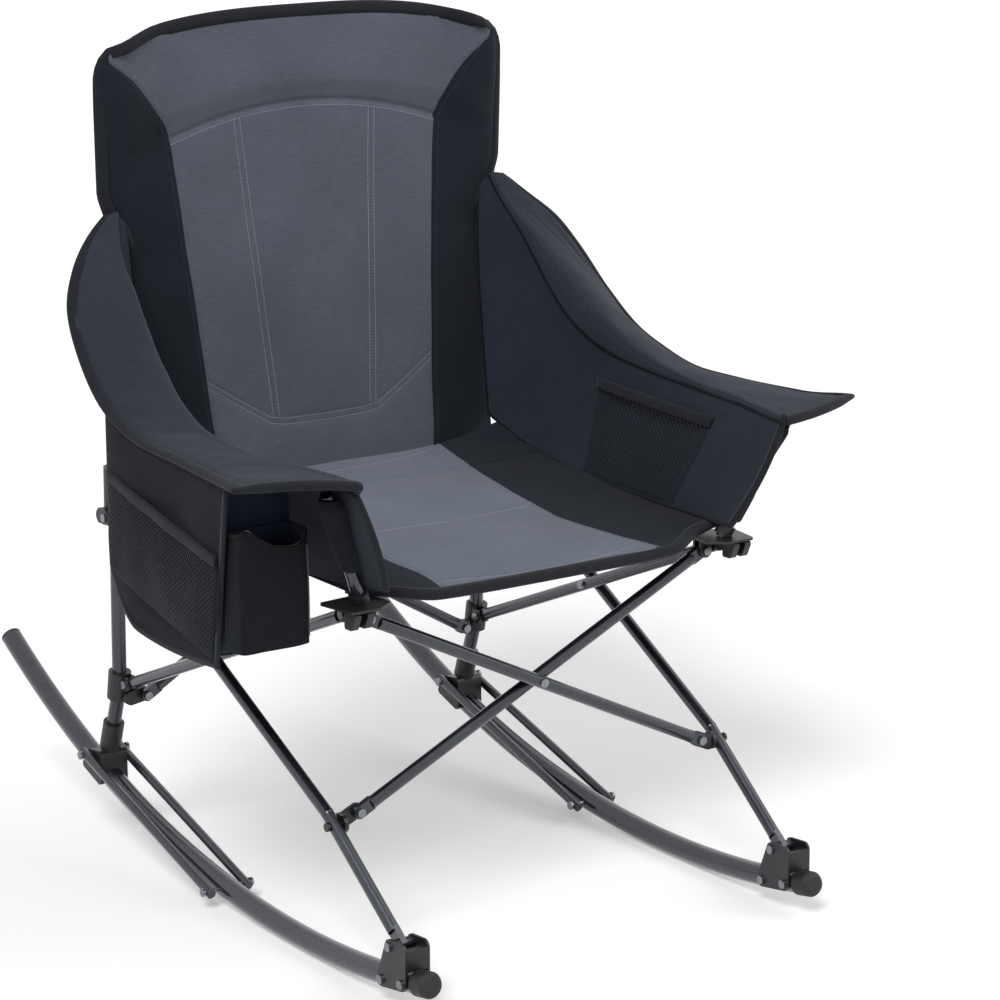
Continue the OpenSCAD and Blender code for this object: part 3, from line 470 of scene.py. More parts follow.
def ripples(p: Array, wave: float, seed: int) -> Array:
    """Smooth, repeatable waves over space, from about -1 to 1.

    Args:
        p: points in mm.
        wave: the main wavelength in mm.
        seed: the pattern's seed.

    Returns:
        A value for each point.
    """
    rng = np.random.default_rng(seed)
    total = np.zeros(p.shape[:-1])
    for _ in range(7):
        direction = unit(rng.normal(size=3))
        total += np.sin(p @ direction * math.tau / (wave * rng.uniform(0.7, 1.6)) + rng.uniform(0, math.tau))
    return total / 4


def add_object(name: str, mesh: bpy.types.Mesh) -> bpy.types.Object:
    """Links a mesh to the scene as an object."""
    made = bpy.data.objects.new(name, mesh)
    bpy.context.scene.collection.objects.link(made)
    return made


def new_mesh(name: str, points: Array | list, edges: list, faces: list) -> bpy.types.Mesh:
    """Makes a mesh from its points in metres, its edges and its faces."""
    mesh = bpy.data.meshes.new(name)
    mesh.from_pydata([tuple(p) for p in points], edges, faces)
    return mesh


def write_map(mesh: bpy.types.Mesh, place: Array) -> None:
    """Gives a mesh its cloth map, from a place in metres for each point."""
    corners = np.empty(len(mesh.loops), np.int32)
    mesh.loops.foreach_get("vertex_index", corners)
    mesh.uv_layers.new(name="cloth").data.foreach_set("uv", place[corners].astype(np.float32).ravel())


def tidy_normals(mesh: bpy.types.Mesh, merge: float = 0.0) -> None:
    """Merges doubles and turns every face outwards.

    Args:
        mesh: the mesh to clean.
        merge: the distance within which points are one, in metres, or 0 to merge none.
    """
    work = bmesh.new()
    work.from_mesh(mesh)
    if merge:
        bmesh.ops.remove_doubles(work, verts=work.verts, dist=merge)
    bmesh.ops.recalc_face_normals(work, faces=work.faces)
    work.to_mesh(mesh)
    work.free()


@dataclass
class Sheet:
    """A grid of points on the middle of a cloth, with its half thickness: everything sewn is built from these."""

    mid: Array  # rows x columns x 3, in mm
    half: Array  # rows x columns, in mm
    facing: tuple[float, float, float]  # a direction that the front looks to

    def __post_init__(self) -> None:
        """Works out normals and the distances along the cloth."""
        across, along = np.gradient(self.mid, axis=1), np.gradient(self.mid, axis=0)
        self.normal = unit(np.cross(across, along))
        if float((self.normal @ np.array(self.facing)).mean()) < 0:
            self.normal = -self.normal
        step_u = np.linalg.norm(np.diff(self.mid, axis=1), axis=2)
        step_v = np.linalg.norm(np.diff(self.mid, axis=0), axis=2)
        u = np.concatenate([np.zeros((len(self.mid), 1)), np.cumsum(step_u, axis=1)], axis=1)
        v = np.concatenate([np.zeros((1, self.mid.shape[1])), np.cumsum(step_v, axis=0)], axis=0)
        self.u = u - u[:, self.mid.shape[1] // 2][:, None]
        self.v = v

    def cut(self) -> tuple[float, float, float]:
        """The flat cloth's width, length and area, in metres."""
        across, along = np.diff(self.mid, axis=1)[:-1], np.diff(self.mid, axis=0)[:, :-1]
        area = float(np.linalg.norm(np.cross(across, along), axis=2).sum()) * MM * MM
        width, length = float(np.ptp(self.u, axis=1).max()) * MM, float(self.v[-1].max()) * MM
        return width, length, min(area, width * length)

    def solid(self, name: str, materials: list[bpy.types.Material], zones: Array | None = None,
              back: int = 0, rim: int = 0) -> bpy.types.Object:
        """Builds the closed cloth.

        Args:
            name: the piece's name.
            materials: its materials.
            zones: the front's material index for each cell.
            back: the back's material index.
            rim: the rim's material index, or -1 for that of the cell beside it.

        Returns:
            The object, with its UV map and the attributes gu, gv and side.
        """
        rows, cols = self.half.shape
        front = self.mid + self.normal * self.half[..., None]
        rear = self.mid - self.normal * self.half[..., None]
        ring = ([(0, j) for j in range(cols)] + [(i, cols - 1) for i in range(1, rows)]
                + [(rows - 1, j) for j in range(cols - 2, -1, -1)] + [(i, 0) for i in range(rows - 2, 0, -1)])
        centre = [(min(max(i, 1), rows - 2), min(max(j, 1), cols - 2)) for i, j in ring]
        edge = np.array([self.mid[r] for r in ring])
        inner = np.array([self.mid[c] for c in centre])
        out = unit(edge - inner)
        swell = edge + out * np.array([self.half[r] for r in ring])[:, None] * 0.7
        points = np.concatenate([front.reshape(-1, 3), rear.reshape(-1, 3), swell]) * MM
        grid = lambda i, j, layer: layer * rows * cols + i * cols + j
        faces, index = [], []
        for i in range(rows - 1):
            for j in range(cols - 1):
                zone = int(zones[i, j]) if zones is not None else 0
                faces.append((grid(i, j, 0), grid(i, j + 1, 0), grid(i + 1, j + 1, 0), grid(i + 1, j, 0)))
                faces.append((grid(i, j, 1), grid(i + 1, j, 1), grid(i + 1, j + 1, 1), grid(i, j + 1, 1)))
                index += [zone, back]
        base, count = 2 * rows * cols, len(ring)
        for k in range(count):
            a, b = ring[k], ring[(k + 1) % count]
            m, n = base + k, base + (k + 1) % count
            faces.append((grid(*a, 0), m, n, grid(*b, 0)))
            faces.append((m, grid(*a, 1), grid(*b, 1), n))
            beside = (min(a[0], b[0], rows - 2), min(a[1], b[1], cols - 2))
            index += [rim if rim >= 0 else int(zones[beside])] * 2
        mesh = new_mesh(name, points, [], faces)
        for material in materials:
            mesh.materials.append(material)
        mesh.polygons.foreach_set("material_index", index)
        gu, gv = np.meshgrid(np.linspace(0, 1, cols), np.linspace(0, 1, rows))
        flat = lambda grid_values: np.concatenate([grid_values.ravel(), grid_values.ravel(),
                                                   [grid_values[r] for r in ring]])
        side = np.concatenate([np.ones(rows * cols), -np.ones(rows * cols), np.zeros(count)])
        for label, values in (("gu", flat(gu)), ("gv", flat(gv)), ("side", side)):
            mesh.attributes.new(label, "FLOAT", "POINT").data.foreach_set("value", values.astype(np.float32))
        write_map(mesh, np.stack([flat(self.u), flat(self.v)], axis=1) * MM)
        tidy_normals(mesh)
        return add_object(name, mesh)

    def binding(self, name: str, sides: str, width: float, material: bpy.types.Material,
                proud: float = 0.7, trim: int = 0) -> bpy.types.Object:
        """Folds a tape over the cloth's edge.

        Args:
            name: the piece's name.
            sides: the edges that it follows in order: L, T, R and B for the first column, last row, last column
                and first row.
            width: how far the tape reaches in from the edge, in mm.
            material: the tape's material.
            proud: how far it stands off the cloth, in mm.
            trim: how many points of the run are left bare at either end.

        Returns:
            The tape as a closed mesh.
        """
        rows, cols = self.half.shape
        runs = {"L": [(i, 0) for i in range(rows)], "T": [(rows - 1, j) for j in range(cols)],
                "R": [(i, cols - 1) for i in range(rows - 1, -1, -1)], "B": [(0, j) for j in range(cols - 1, -1, -1)]}
        line: list[tuple[int, int]] = []
        for key in sides:
            line += [p for p in runs[key] if not line or p != line[-1]]
        closed = len(line) > 2 and line[0] == line[-1]
        line = line[trim:len(line) - max(trim, int(closed))]
        centre = [(min(max(i, 2), rows - 3), min(max(j, 2), cols - 3)) for i, j in line]
        edge = np.array([self.mid[p] for p in line])
        normal = np.array([self.normal[p] for p in line])
        half = np.array([self.half[p] for p in line])[:, None]
        deep = np.array([self.half[c] for c in centre])[:, None]
        inward = np.array([self.mid[c] for c in centre]) - edge
        tangent = unit(np.roll(edge, -1, axis=0) - np.roll(edge, 1, axis=0))
        if not closed:
            tangent[0], tangent[-1] = unit(edge[1] - edge[0]), unit(edge[-1] - edge[-2])
        for _ in range(3):  # corners turn smoothly
            tangent[1:-1] = unit(tangent[:-2] + tangent[1:-1] * 2 + tangent[2:])
        inward = unit(inward - tangent * (inward * tangent).sum(1)[:, None])
        inward = unit(inward - normal * (inward * normal).sum(1)[:, None])
        reach = np.minimum(deep, half * 1.6 + 1)
        profile = [edge + inward * width + normal * (reach + proud * 0.5),
                   edge + inward * width * 0.5 + normal * ((half + reach) / 2 + proud),
                   edge + normal * (half + proud), edge - inward * (half * 0.5 + proud) + normal * half * 0.6,
                   edge - inward * (half * 0.7 + proud),
                   edge - inward * (half * 0.5 + proud) - normal * half * 0.6, edge - normal * (half + proud),
                   edge + inward * width * 0.5 - normal * ((half + reach) / 2 + proud),
                   edge + inward * width - normal * (reach + proud * 0.5)]
        return loft(name, np.stack(profile, axis=1), material, closed)


def loft(name: str, rings: Array, material: bpy.types.Material, closed: bool = False) -> bpy.types.Object:
    """Skins a row of closed rings.

    Args:
        name: the piece's name.
        rings: rings x points x 3, in mm.
        material: the piece's material.
        closed: whether the last ring joins the first.

    Returns:
        The closed mesh, with a UV map along and round it.
    """
    count, sides = rings.shape[:2]
    points = rings.reshape(-1, 3) * MM
    faces = []
    for i in range(count if closed else count - 1):
        a, b = i * sides, (i + 1) % count * sides
        faces += [(a + k, a + (k + 1) % sides, b + (k + 1) % sides, b + k) for k in range(sides)]
    if not closed:
        faces += [tuple(range(sides - 1, -1, -1)), tuple((count - 1) * sides + k for k in range(sides))]
    mesh = new_mesh(name, points, [], faces)
    mesh.materials.append(material)
    middle = rings.mean(axis=1)
    along = np.concatenate([[0], np.cumsum(np.linalg.norm(np.diff(middle, axis=0), axis=1))])
    around = np.concatenate([[0], np.cumsum(np.linalg.norm(np.diff(rings[count // 2], axis=0), axis=1))])
    write_map(mesh, np.stack(np.meshgrid(along, around, indexing="ij"), axis=2).reshape(-1, 2) * MM)
    tidy_normals(mesh, 1e-9)
    mesh.shade_smooth()
    return add_object(name, mesh)


def coordinates(mesh: bpy.types.Mesh) -> Array:
    """A mesh's points as an array, in metres."""
    flat = np.empty(len(mesh.vertices) * 3, np.float32)
    mesh.vertices.foreach_get("co", flat)
    return flat.reshape(-1, 3).astype(float)


def place_points(mesh: bpy.types.Mesh, points: Array) -> None:
    """Writes a mesh's points, in metres."""
    mesh.vertices.foreach_set("co", points.astype(np.float32).ravel())
    mesh.update()


def attribute(mesh: bpy.types.Mesh, label: str) -> Array:
    """Reads a float attribute of the points."""
    values = np.empty(len(mesh.vertices), np.float32)
    mesh.attributes[label].data.foreach_get("value", values)
    return values.astype(float)


def laid_out(piece: bpy.types.Object) -> tuple[Array, Array, Array, Array]:
    """Reads a cloth's points in mm, and for each its side, 1 in front, and its shares across and up the cloth."""
    return coordinates(piece.data) / MM, *(attribute(piece.data, label) for label in ("side", "gu", "gv"))


def inset(gu: Array, gv: Array, wide: float, tall: float) -> Array:
    """How far points lie in from a cloth's edges, in mm, where it is wide across gu and tall across gv."""
    return np.minimum(np.minimum(gu, 1 - gu) * wide, np.minimum(gv, 1 - gv) * tall)


def shares(rows: int, cols: int) -> list[Array]:
    """Shares from 0 to 1 down and across a grid."""
    return np.meshgrid(np.linspace(0, 1, rows), np.linspace(0, 1, cols), indexing="ij")


def spread(a: Array, seam: float, grey: Array, half: Array | float) -> Array:
    """Spreads columns over a cloth so that its colour seam falls on the grey centre's edge.

    Args:
        a: the columns' places from -1 to 1.
        seam: the seam's place among them, from 0 to 1.
        grey: half the grey centre's width, in mm.
        half: half the cloth's width, in mm.

    Returns:
        An x for each point, in mm.
    """
    inner = np.abs(a) / seam * grey
    outer = grey + (np.abs(a) - seam) / (1 - seam) * (half - grey)
    return np.sign(a) * np.where(np.abs(a) <= seam, inner, outer)


def centre_zones(rows: int, cols: int, seam: float) -> Array:
    """A material index for each cell of a cloth: 0 between its colour seams and 1 outside them."""
    a = np.abs(np.linspace(-1, 1, cols))
    return np.where((a[:-1] + a[1:])[None, :] / 2 <= seam, 0, 1) + np.zeros((rows - 1, 1), int)


def puff(piece: bpy.types.Object, held: Array, pressure: float, cap: float, frames: int = 16) -> None:
    """Blows a closed cover up with the cloth simulation and keeps the result.

    Args:
        piece: the cover.
        held: how firmly each point is held, from 0 to 1, as along seams.
        pressure: the pressure inside.
        cap: how far a point may move, in mm.
        frames: the frames to run.
    """
    group = piece.vertex_groups.new(name="held")
    for index, weight in enumerate(held):
        group.add([index], float(np.clip(weight, 0, 1)), "REPLACE")
    start = coordinates(piece.data)
    cloth = piece.modifiers.new("cloth", "CLOTH")
    settings = cloth.settings
    settings.quality = 5
    settings.mass = 0.3
    settings.tension_stiffness = settings.compression_stiffness = 25
    settings.shear_stiffness = 15
    settings.bending_stiffness = 0.6
    settings.use_pressure = True
    settings.uniform_pressure_force = pressure
    settings.vertex_group_mass = "held"
    settings.effector_weights.gravity = 0
    cloth.collision_settings.use_collision = False
    cloth.point_cache.frame_end = frames
    scene = bpy.context.scene
    for frame in range(1, frames + 1):
        scene.frame_set(frame)
    graph = bpy.context.evaluated_depsgraph_get()
    moved = coordinates(piece.evaluated_get(graph).data)
    piece.modifiers.clear()
    piece.vertex_groups.clear()
    shift = moved - start
    length = np.linalg.norm(shift, axis=1, keepdims=True)
    capped = cap * MM * np.tanh(length / (cap * MM))
    place_points(piece.data, start + shift / np.maximum(length, 1e-9) * capped)
    scene.frame_set(1)


def smooth_up(piece: bpy.types.Object, levels: int) -> None:
    """Subdivides a piece and keeps the result."""
    modifier = piece.modifiers.new("smooth", "SUBSURF")
    modifier.levels = modifier.render_levels = levels
    settle(piece)
    piece.data.shade_smooth()


def push(piece: bpy.types.Object, distance: Array) -> None:
    """Moves each point of a piece along its normal.

    Args:
        piece: the piece.
        distance: a distance for each point, in mm, outwards.
    """
    normals = np.empty(len(piece.data.vertices) * 3, np.float32)
    piece.data.vertices.foreach_get("normal", normals)
    place_points(piece.data, coordinates(piece.data) + normals.reshape(-1, 3) * distance[:, None] * MM)


def snap(piece: bpy.types.Object, lines: list[Array], lift: float, aim: tuple[float, float, float]) -> list[Array]:
    """Lays lines on a piece's surface.

    Args:
        piece: the piece.
        lines: runs of points near its surface, in mm.
        lift: how far the lines stand off the surface, in mm.
        aim: the way that the lines are pressed on to it.

    Returns:
        The lines on the surface, in metres.
    """
    work = bmesh.new()
    work.from_mesh(piece.data)
    surface = BVHTree.FromBMesh(work)
    laid = []
    for line in lines:
        run = []
        for p in line:
            place, normal, _, _ = surface.ray_cast(Vector(p * MM) - Vector(aim) * 0.05, Vector(aim))
            if place is None:
                place, normal, _, _ = surface.find_nearest(Vector(p * MM))
            run.append(np.array(place + normal * lift * MM))
        laid.append(np.array(run))
    work.free()
    return laid


# ---- the shared bench ----
@dataclass
class Bench:
    """What every sub-assembly uses: the finishes, the trees and the way pieces are handed to the frame."""

    wardrobe: Wardrobe
    stitches: PathTree
    cords: PathTree
    count: int = 0

    def keep(self, piece: bpy.types.Object, body: str, slot: str, fold: "Crumple | None" = None,
             stands_for: tuple[str, ...] = (), fill: float | None = None,
             cut: tuple[float, float, float] | None = None, rests_on: tuple[str, ...] = ()) -> bpy.types.Object:
        """Hands a finished piece to the frame.

        Args:
            piece: the finished piece.
            body: the body that it rides on.
            slot: the record's material slot; not used.
            fold: how it would crumple as the chair folds; a piece that has one only gets a mesh of its own.
            stands_for: the solids that it replaces.
            fill: how full it is, for a padded piece; not used.
            cut: the flat width, length and area in metres, for a single cloth; not used.
            rests_on: what a single cloth hangs from; not used.

        Returns:
            The piece.
        """
        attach(piece, body)
        if stands_for:
            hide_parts(*stands_for)
        if fold is not None:
            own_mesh(piece)
        self.count += 1
        log.info("%s rides on %s with %d faces", piece.name, body, len(piece.data.polygons))
        return piece

    def sew(self, name: str, piece: bpy.types.Object, lines: list[Array], thread: bpy.types.Material,
            aim: tuple[float, float, float] = (0.0, 0.0, -1.0), lift: float = 0.15, spacing: float = 4.2,
            length: float = 3.0, thickness: float = 1.1) -> bpy.types.Object:
        """Sews rows of stitches into a piece's surface.

        Args:
            name: the new piece's name.
            piece: the cover that is sewn.
            lines: the rows, in mm, near the surface.
            thread: the thread's material.
            aim: the way that the needle points.
            lift: how far the thread's middle stands off, in mm.
            spacing: from one stitch to the next, in mm.
            length: a stitch's length, in mm.
            thickness: the thread's thickness, in mm, drawn double so that it shows.

        Returns:
            The stitches as one mesh.
        """
        made = self.stitches.apply(name, snap(piece, lines, lift, aim), {
            "Spacing": spacing * MM, "Length": length * MM, "Thickness": thickness * MM, "Material": thread})
        made.data.shade_smooth()
        return made

    def cord(self, name: str, lines: list[Array], radius: float, material: bpy.types.Material,
             sides: int = 8) -> bpy.types.Object:
        """Makes round cords along lines in mm.

        Args:
            name: the new piece's name.
            lines: runs of points in mm.
            radius: the cord's radius in mm.
            material: its material.
            sides: how many sides its round has.

        Returns:
            The cords as one mesh.
        """
        made = self.cords.apply(name, [line * MM for line in lines],
                                {"Radius": radius * MM, "Sides": sides, "Material": material})
        tidy_normals(made.data, 1e-7)
        made.data.shade_smooth()
        return made


@dataclass(frozen=True)
class Crumple:
    """How a soft piece would flatten as the chair folds; nothing here applies it."""

    axis: tuple[float, float, float]
    anchor: tuple[float, float, float]
    keep: float


ACROSS = Crumple((1.0, 0.0, 0.0), (-0.2855, 0.0, 0.0), 0.30)
ALONG_ARM = Crumple((0.0, 0.723, 0.691), (0.0, 0.396, 0.846), 0.16)


# ---- sizes shared by the soft parts, in mm ----
@dataclass(frozen=True)
class Fit:
    """Where the covers meet the frame."""

    rocker_x: float = 285.5
    post_x: float = 284.0
    post_r: float = 9.5
    flange_top: float = 456.25
    arm_low: tuple[float, float, float] = (267.0, -123.9, 455.75)
    arm_high: tuple[float, float, float] = (335.0, -159.9, 603.25)
    arm_lift: float = -2.0

    def post_y(self, z: float | Array) -> float | Array:
        """The rear post's middle, fore and aft, at a height."""
        return 435.0 - (z - 222.0) * math.tan(math.radians(1.25))


FIT = Fit()


def lookup(x: Array, table: list[tuple[float, float]]) -> Array:
    """Reads a table of places and values at x."""
    places, values = zip(*table)
    return np.interp(x, places, values)


# ---- padded back ----
@dataclass
class BackRest:
    """The padded back: a grey centre and head roll between dark sides, bound all round."""

    bench: Bench
    low_z: float = 487.0
    top_z: float = 1086.0
    drop: float = 36.0
    thick: float = 14.0
    rows: int = 64
    cols: int = 65
    seam: float = 0.66  # where the colour seam runs, as a share of the columns from the middle
    head: float = 0.76  # where the head seam runs, as a share of the rows
    head_high: float = 967.0
    wing: float = 0.56  # the share of the height above which the cover wraps the posts
    edge_back: float = 9.0  # how far the cover's edges bend back
    post_gap: float = 0.4
    size: float = 600.0  # the cover's width and height, about, that turn shares into mm
    double_step: float = 9.0  # between the two rows of a double seam
    roll: float = 5.0  # how far the head roll stands out
    groove: float = 3.6  # half the width of the groove along a row of stitches

    def half_width(self, v: Array) -> Array:
        """Half the cover's width at a share of its height."""
        return lookup(v, [(0, 268), (0.4, 270), (0.56, 272), (0.6, 280), (0.63, 294), (0.68, 303), (0.94, 306),
                          (0.975, 302), (1, 288)])

    def grey_half(self, z: Array) -> Array:
        """Half the grey centre's width at a height."""
        return lookup(z, [(487, 165), (560, 171), (727, 183), (858, 195), (932, 203), (950, 211), (971, 227),
                          (1000, 248), (1020, 264), (1036, 280), (1052, 294)])

    def head_z(self, x: Array) -> Array:
        """The height of the head seam."""
        return self.head_high - 0.00085 * x ** 2

    def middle(self) -> Sheet:
        """Lays out the cover."""
        a = np.linspace(-1, 1, self.cols)[None, :]
        b = np.linspace(0, 1, self.rows)[:, None]
        v = b + 0 * a
        x = np.zeros_like(v)
        for _ in range(4):
            half = self.half_width(v)
            z = self.low_z + v * (self.top_z - self.low_z - self.drop * 0.4)
            x = spread(a, self.seam, np.minimum(self.grey_half(z), half - 1.5), half)
            s = np.clip(np.abs(x) / half, 0, 1)
            top = self.top_z - self.drop * s ** 3
            seam_v = (self.head_z(x) - self.low_z) / (top - self.low_z)
            v = np.where(b < self.head, b / self.head * seam_v,
                         seam_v + (b - self.head) / (1 - self.head) * (1 - seam_v))
        z = self.low_z + v * (top - self.low_z)
        y = lookup(v, [(0, 363), (0.03, 367), (0.147, 379), (0.388, 394), (0.533, 404), (0.697, 414), (0.853, 420),
                       (1, 424)])
        y = y + self.edge_back * ease((s - 0.6) / 0.4) * ease((0.6 - v) / 0.1)
        above = ease((v - self.wing) / 0.12)
        edge_y = FIT.post_y(z) - FIT.post_r - self.thick / 2 - self.post_gap
        y = y + (np.minimum(y, edge_y) - y) * (above * ease((s - 0.7) / 0.25)) \
            + self.edge_back * ease((s - 0.93) / 0.07) * above
        thick = self.thick * (0.42 + 0.58 * ease((1 - s) / 0.16)) * (0.55 + 0.45 * ease((1 - b) / 0.12)) \
            * (0.6 + 0.4 * ease(b / 0.06))
        return Sheet(np.stack([x, y, z], axis=2), thick / 2, (0.0, -1.0, 0.2))

    def seams(self) -> dict[str, list[Array]]:
        """The sewn lines as runs of x and z, in mm."""
        z = np.linspace(568, 950, 90)
        inner = lookup(z, [(560, 70), (950, 98)])
        double = [np.stack([side * (inner + step), z], axis=1) for side in (-1, 1) for step in (0, self.double_step)]
        x = np.linspace(-172, 172, 90)
        low = lookup(np.abs(x), [(0, 560), (62, 561), (84, 565), (130, 593), (172, 620)])
        head = np.linspace(-200, 200, 90)
        side_z = np.linspace(500, 1046, 120)
        grey = self.grey_half(side_z)
        return {
            "double": double,
            "low": [np.stack([x, low], axis=1), np.stack([x, low - 8], axis=1)],
            "head": [np.stack([head, self.head_z(head) - 7], axis=1)],
            "side": [np.stack([side * (grey + 6), side_z], axis=1) for side in (-1, 1)],
        }

    def distance(self, x: Array, z: Array, lines: list[Array]) -> Array:
        """How far points lie from the nearest sewn line, in mm."""
        best = np.full(x.shape, 1e3)
        for line in lines:
            for start in range(0, len(line) - 1, 3):
                a, b = line[start], line[min(start + 3, len(line) - 1)]
                d = b - a
                t = np.clip(((x - a[0]) * d[0] + (z - a[1]) * d[1]) / max(d @ d, 1e-9), 0, 1)
                best = np.minimum(best, np.hypot(x - a[0] - t * d[0], z - a[1] - t * d[1]))
        return best

    def build(self) -> None:
        """Builds the cover, its tapes, sleeves and stitches."""
        bench, finish = self.bench, self.bench.wardrobe
        sheet = self.middle()
        cover = sheet.solid("padded_back", [finish.grey, finish.navy], centre_zones(self.rows, self.cols, self.seam),
                            back=1, rim=1)
        sewn = self.seams()
        at, side, gu, gv = laid_out(cover)
        gap = self.distance(at[:, 0], at[:, 2], sewn["double"] + sewn["low"][:1])
        seam_gap = np.minimum(np.abs(np.abs(2 * gu - 1) - self.seam) * 270, np.abs(gv - self.head) * 560)
        edge = inset(gu, gv, self.size, self.size)
        held = np.maximum.reduce([dip(gap, 8) * 0.5, dip(seam_gap, 7), dip(edge, 12), 1.0 * (side < 0.5)])
        puff(cover, held, 2.2, 7.0)
        smooth_up(cover, 2)
        at, side, gu, gv = laid_out(cover)
        gap = self.distance(at[:, 0], at[:, 2], sewn["double"] + sewn["low"])
        seam_gap = np.abs(np.abs(2 * gu - 1) - self.seam) * 300
        head_gap = np.where(np.abs(2 * gu - 1) < self.seam, np.abs(gv - self.head) * 560, 99)
        soft = (ripples(at, 170, 5) * 1.1 + ripples(at, 60, 9) * 0.25) * ease(inset(gu, gv, self.size, self.size) / 40)
        roll = self.roll * ease((gv - self.head) / 0.06) * ease((1 - gv) / 0.17) \
            * ease((0.97 - np.abs(2 * gu - 1)) / 0.14)
        push(cover, ease(side) * (roll + soft - 1.0 * dip(gap, self.groove) - 2.0 * dip(seam_gap, 3.2)
                                  - 3.0 * dip(head_gap, 3.4)))
        bench.keep(cover, "left_post", "grey_fabric", ACROSS, ("back_panel",), 0.45)
        bench.keep(sheet.binding("back_edge_tape", "LTR", 12, finish.webbing, 2.0, 36), "left_post", "navy_fabric",
                   ACROSS)
        for shade, lines, thread, slot in (
                ("pale", sewn["double"] + sewn["low"] + sewn["head"], finish.pale_thread, "grey_fabric"),
                ("dark", sewn["side"], finish.dark_thread, "navy_fabric")):
            near = [np.stack([r[:, 0], lookup(r[:, 1], [(500, 350), (600, 372), (800, 388), (1090, 410)]), r[:, 1]],
                             axis=1) for r in lines]
            rows = bench.sew(f"back_{shade}_stitches", cover, near, thread, (0.0, 1.0, 0.0))
            bench.keep(rows, "left_post", slot, ACROSS)
        self.sleeves()

    def sleeves(self) -> None:
        """Builds the pockets of cloth that hold the tops of the posts."""
        for side in Side:
            heights = np.linspace(908, 1041, 26)
            rings = []
            for z in heights:
                t = np.linspace(0, math.tau, 40, endpoint=False)
                close = 1 - 0.55 * ease((z - 1030) / 12)
                radius = (FIT.post_r + 2.1) * close + 0.25 * np.sin(3 * t + z * 0.05)
                y = FIT.post_y(z)
                inward = 1 + 0.9 * ease(np.cos(t - math.pi)) * close  # the pocket is sewn down beside the post
                rings.append(np.stack([side.value * (FIT.post_x + radius * np.cos(t) * inward),
                                       y + radius * np.sin(t), np.full_like(t, z)], axis=1))
            sleeve = loft(f"{side.word}_post_sleeve", np.array(rings), self.bench.wardrobe.navy)
            self.bench.keep(sleeve, "left_post", "navy_fabric", ACROSS)


